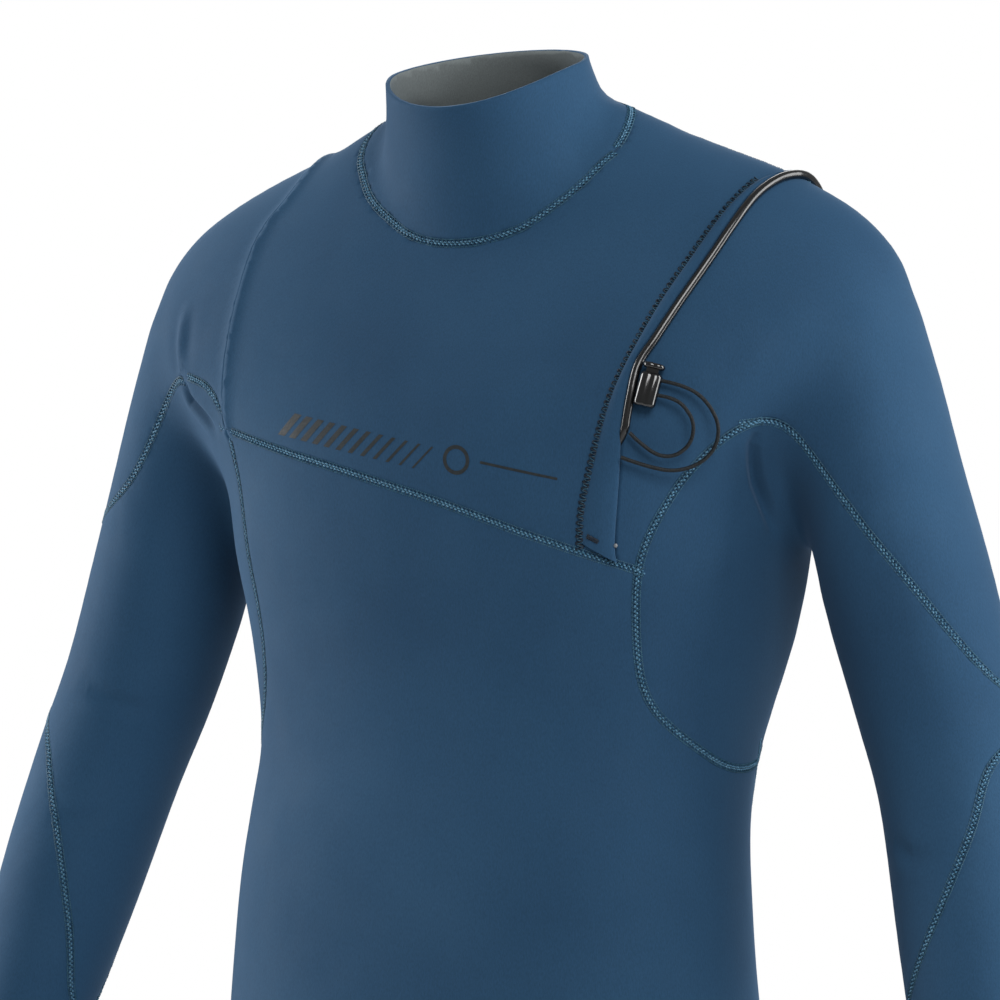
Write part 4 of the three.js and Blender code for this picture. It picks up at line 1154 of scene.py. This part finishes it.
def behindFlap(face, layer):
    centre = face.calc_center_median()
    return centre.y < 20 * mm and insideOutline(centre.x / mm, centre.z / mm, barrier["outline"])


inner = partOf(behindFlap)
inner.normal_update()
for vert, normal in [(vert, vert.normal.copy()) for vert in inner.verts]:
    vert.co -= normal * barrier["inset"] * mm
sheet = finishMesh(inner, "inner_barrier_sheet", [lining], replaces=["inner_barrier"])
thick = sheet.modifiers.new("wall", "SOLIDIFY")
thick.thickness, thick.offset = barrier["thick"] * mm, -1
skin.free()


# ---- plain marks printed on the chest

marks = {"origin": (-99, 1262), "slope": -0.21, "lean": 0.12, "height": 19, "lift": 0.12}


def markAt(u, v):  # u along the line of marks, v up, in mm
    x = marks["origin"][0] + u + marks["lean"] * v
    z = marks["origin"][1] + v + marks["slope"] * u
    return frontPoint(x, z, marks["lift"])[0]


ink = bmesh.new()


def bar(u, v, width, height, lean=0.3, cuts=(4, 6)):
    grid = bmesh.ops.create_grid(ink, x_segments=cuts[0], y_segments=cuts[1], size=0.5)["verts"]
    for vert in grid:
        x, y = vert.co.x, vert.co.y
        vert.co = markAt(u + x * width + y * height * lean, v + y * height)


def ringMark(u, v, inner, outer, segments=40):
    start = ink.verts.new((inner, 0, 0))
    other = ink.verts.new((outer, 0, 0))
    edge = ink.edges.new((start, other))
    made = bmesh.ops.spin(ink, geom=[start, other, edge], cent=(0, 0, 0), axis=(0, 0, 1), angle=2 * math.pi, steps=segments, use_merge=True)
    found = {start, other}
    grow = [start, other]
    while grow:
        vert = grow.pop()
        for e in vert.link_edges:
            far = e.other_vert(vert)
            if far not in found:
                found.add(far)
                grow.append(far)
    for vert in found:
        vert.co = markAt(u + vert.co.x, v + vert.co.y)


for k in range(12):
    bar(5 + k * 8.6, -4.5, 5.4 - 0.36 * k, 14.5, 0.75)
ringMark(121, -1.5, 6.2, 8.4)
bar(159, 0.2, 46, 1.5, 0, (24, 1))
bmesh.ops.recalc_face_normals(ink, faces=ink.faces)
bmesh.ops.reverse_faces(ink, faces=[face for face in ink.faces if face.normal.y > 0])
finishMesh(ink, "chest_marks", [printInk])
print("marks printed")


# ---- floor and light

stage = {"floor": 2.4, "sky": 0.25, "backdrop": 1.0}
floorMesh = bmesh.new()
bmesh.ops.create_circle(floorMesh, cap_ends=True, segments=96, radius=stage["floor"])
floorMaterial, floorTree, floorShader = newMaterial("floor", (0.78, 0.78, 0.78), 0.6)
tone = rampOf(floorTree, noiseOf(floorTree, 2.0), [(0.3, (0.77, 0.77, 0.77)), (0.7, (0.80, 0.80, 0.80))])
floorTree.links.new(tone, floorShader.inputs["Base Color"])
mesh = bpy.data.meshes.new("floor")
floorMesh.to_mesh(mesh)
floorMesh.free()
mesh.materials.append(floorMaterial)
floor = bpy.data.objects.new("floor", mesh)
bpy.context.scene.collection.objects.link(floor)

world = bpy.data.worlds.new("studio")
bpy.context.scene.world = world
world.use_nodes = True
background = world.node_tree.nodes["Background"]
path = world.node_tree.nodes.new("ShaderNodeLightPath")
strength = world.node_tree.nodes.new("ShaderNodeMapRange")
strength.inputs["To Min"].default_value = stage["sky"]
strength.inputs["To Max"].default_value = stage["backdrop"]
world.node_tree.links.new(path.outputs["Is Camera Ray"], strength.inputs["Value"])
world.node_tree.links.new(strength.outputs["Result"], background.inputs["Strength"])
background.inputs["Color"].default_value = (1, 1, 1, 1)


def softLight(name, azimuth, elevation, distance, size, power, height=1.1):
    data = bpy.data.lights.new(name, "AREA")
    data.shape, data.size, data.size_y, data.energy = "RECTANGLE", size[0], size[1], power
    a, e = math.radians(azimuth), math.radians(elevation)
    away = Vector((math.sin(a) * math.cos(e), -math.cos(a) * math.cos(e), math.sin(e)))
    light = bpy.data.objects.new(name, data)
    light.location = Vector((0, 0, height)) + away * distance
    light.rotation_euler = away.to_track_quat("Z", "Y").to_euler()
    bpy.context.scene.collection.objects.link(light)


softLight("key", 44, 32, 2.6, (1.2, 1.2), 35)
softLight("left side", -82, 10, 2.2, (0.8, 2.2), 46)
softLight("right side", 104, 12, 2.2, (0.8, 2.2), 36)
softLight("back fill", 200, 30, 2.8, (1.8, 1.8), 22)

bpy.context.scene.view_settings.view_transform = "Standard"
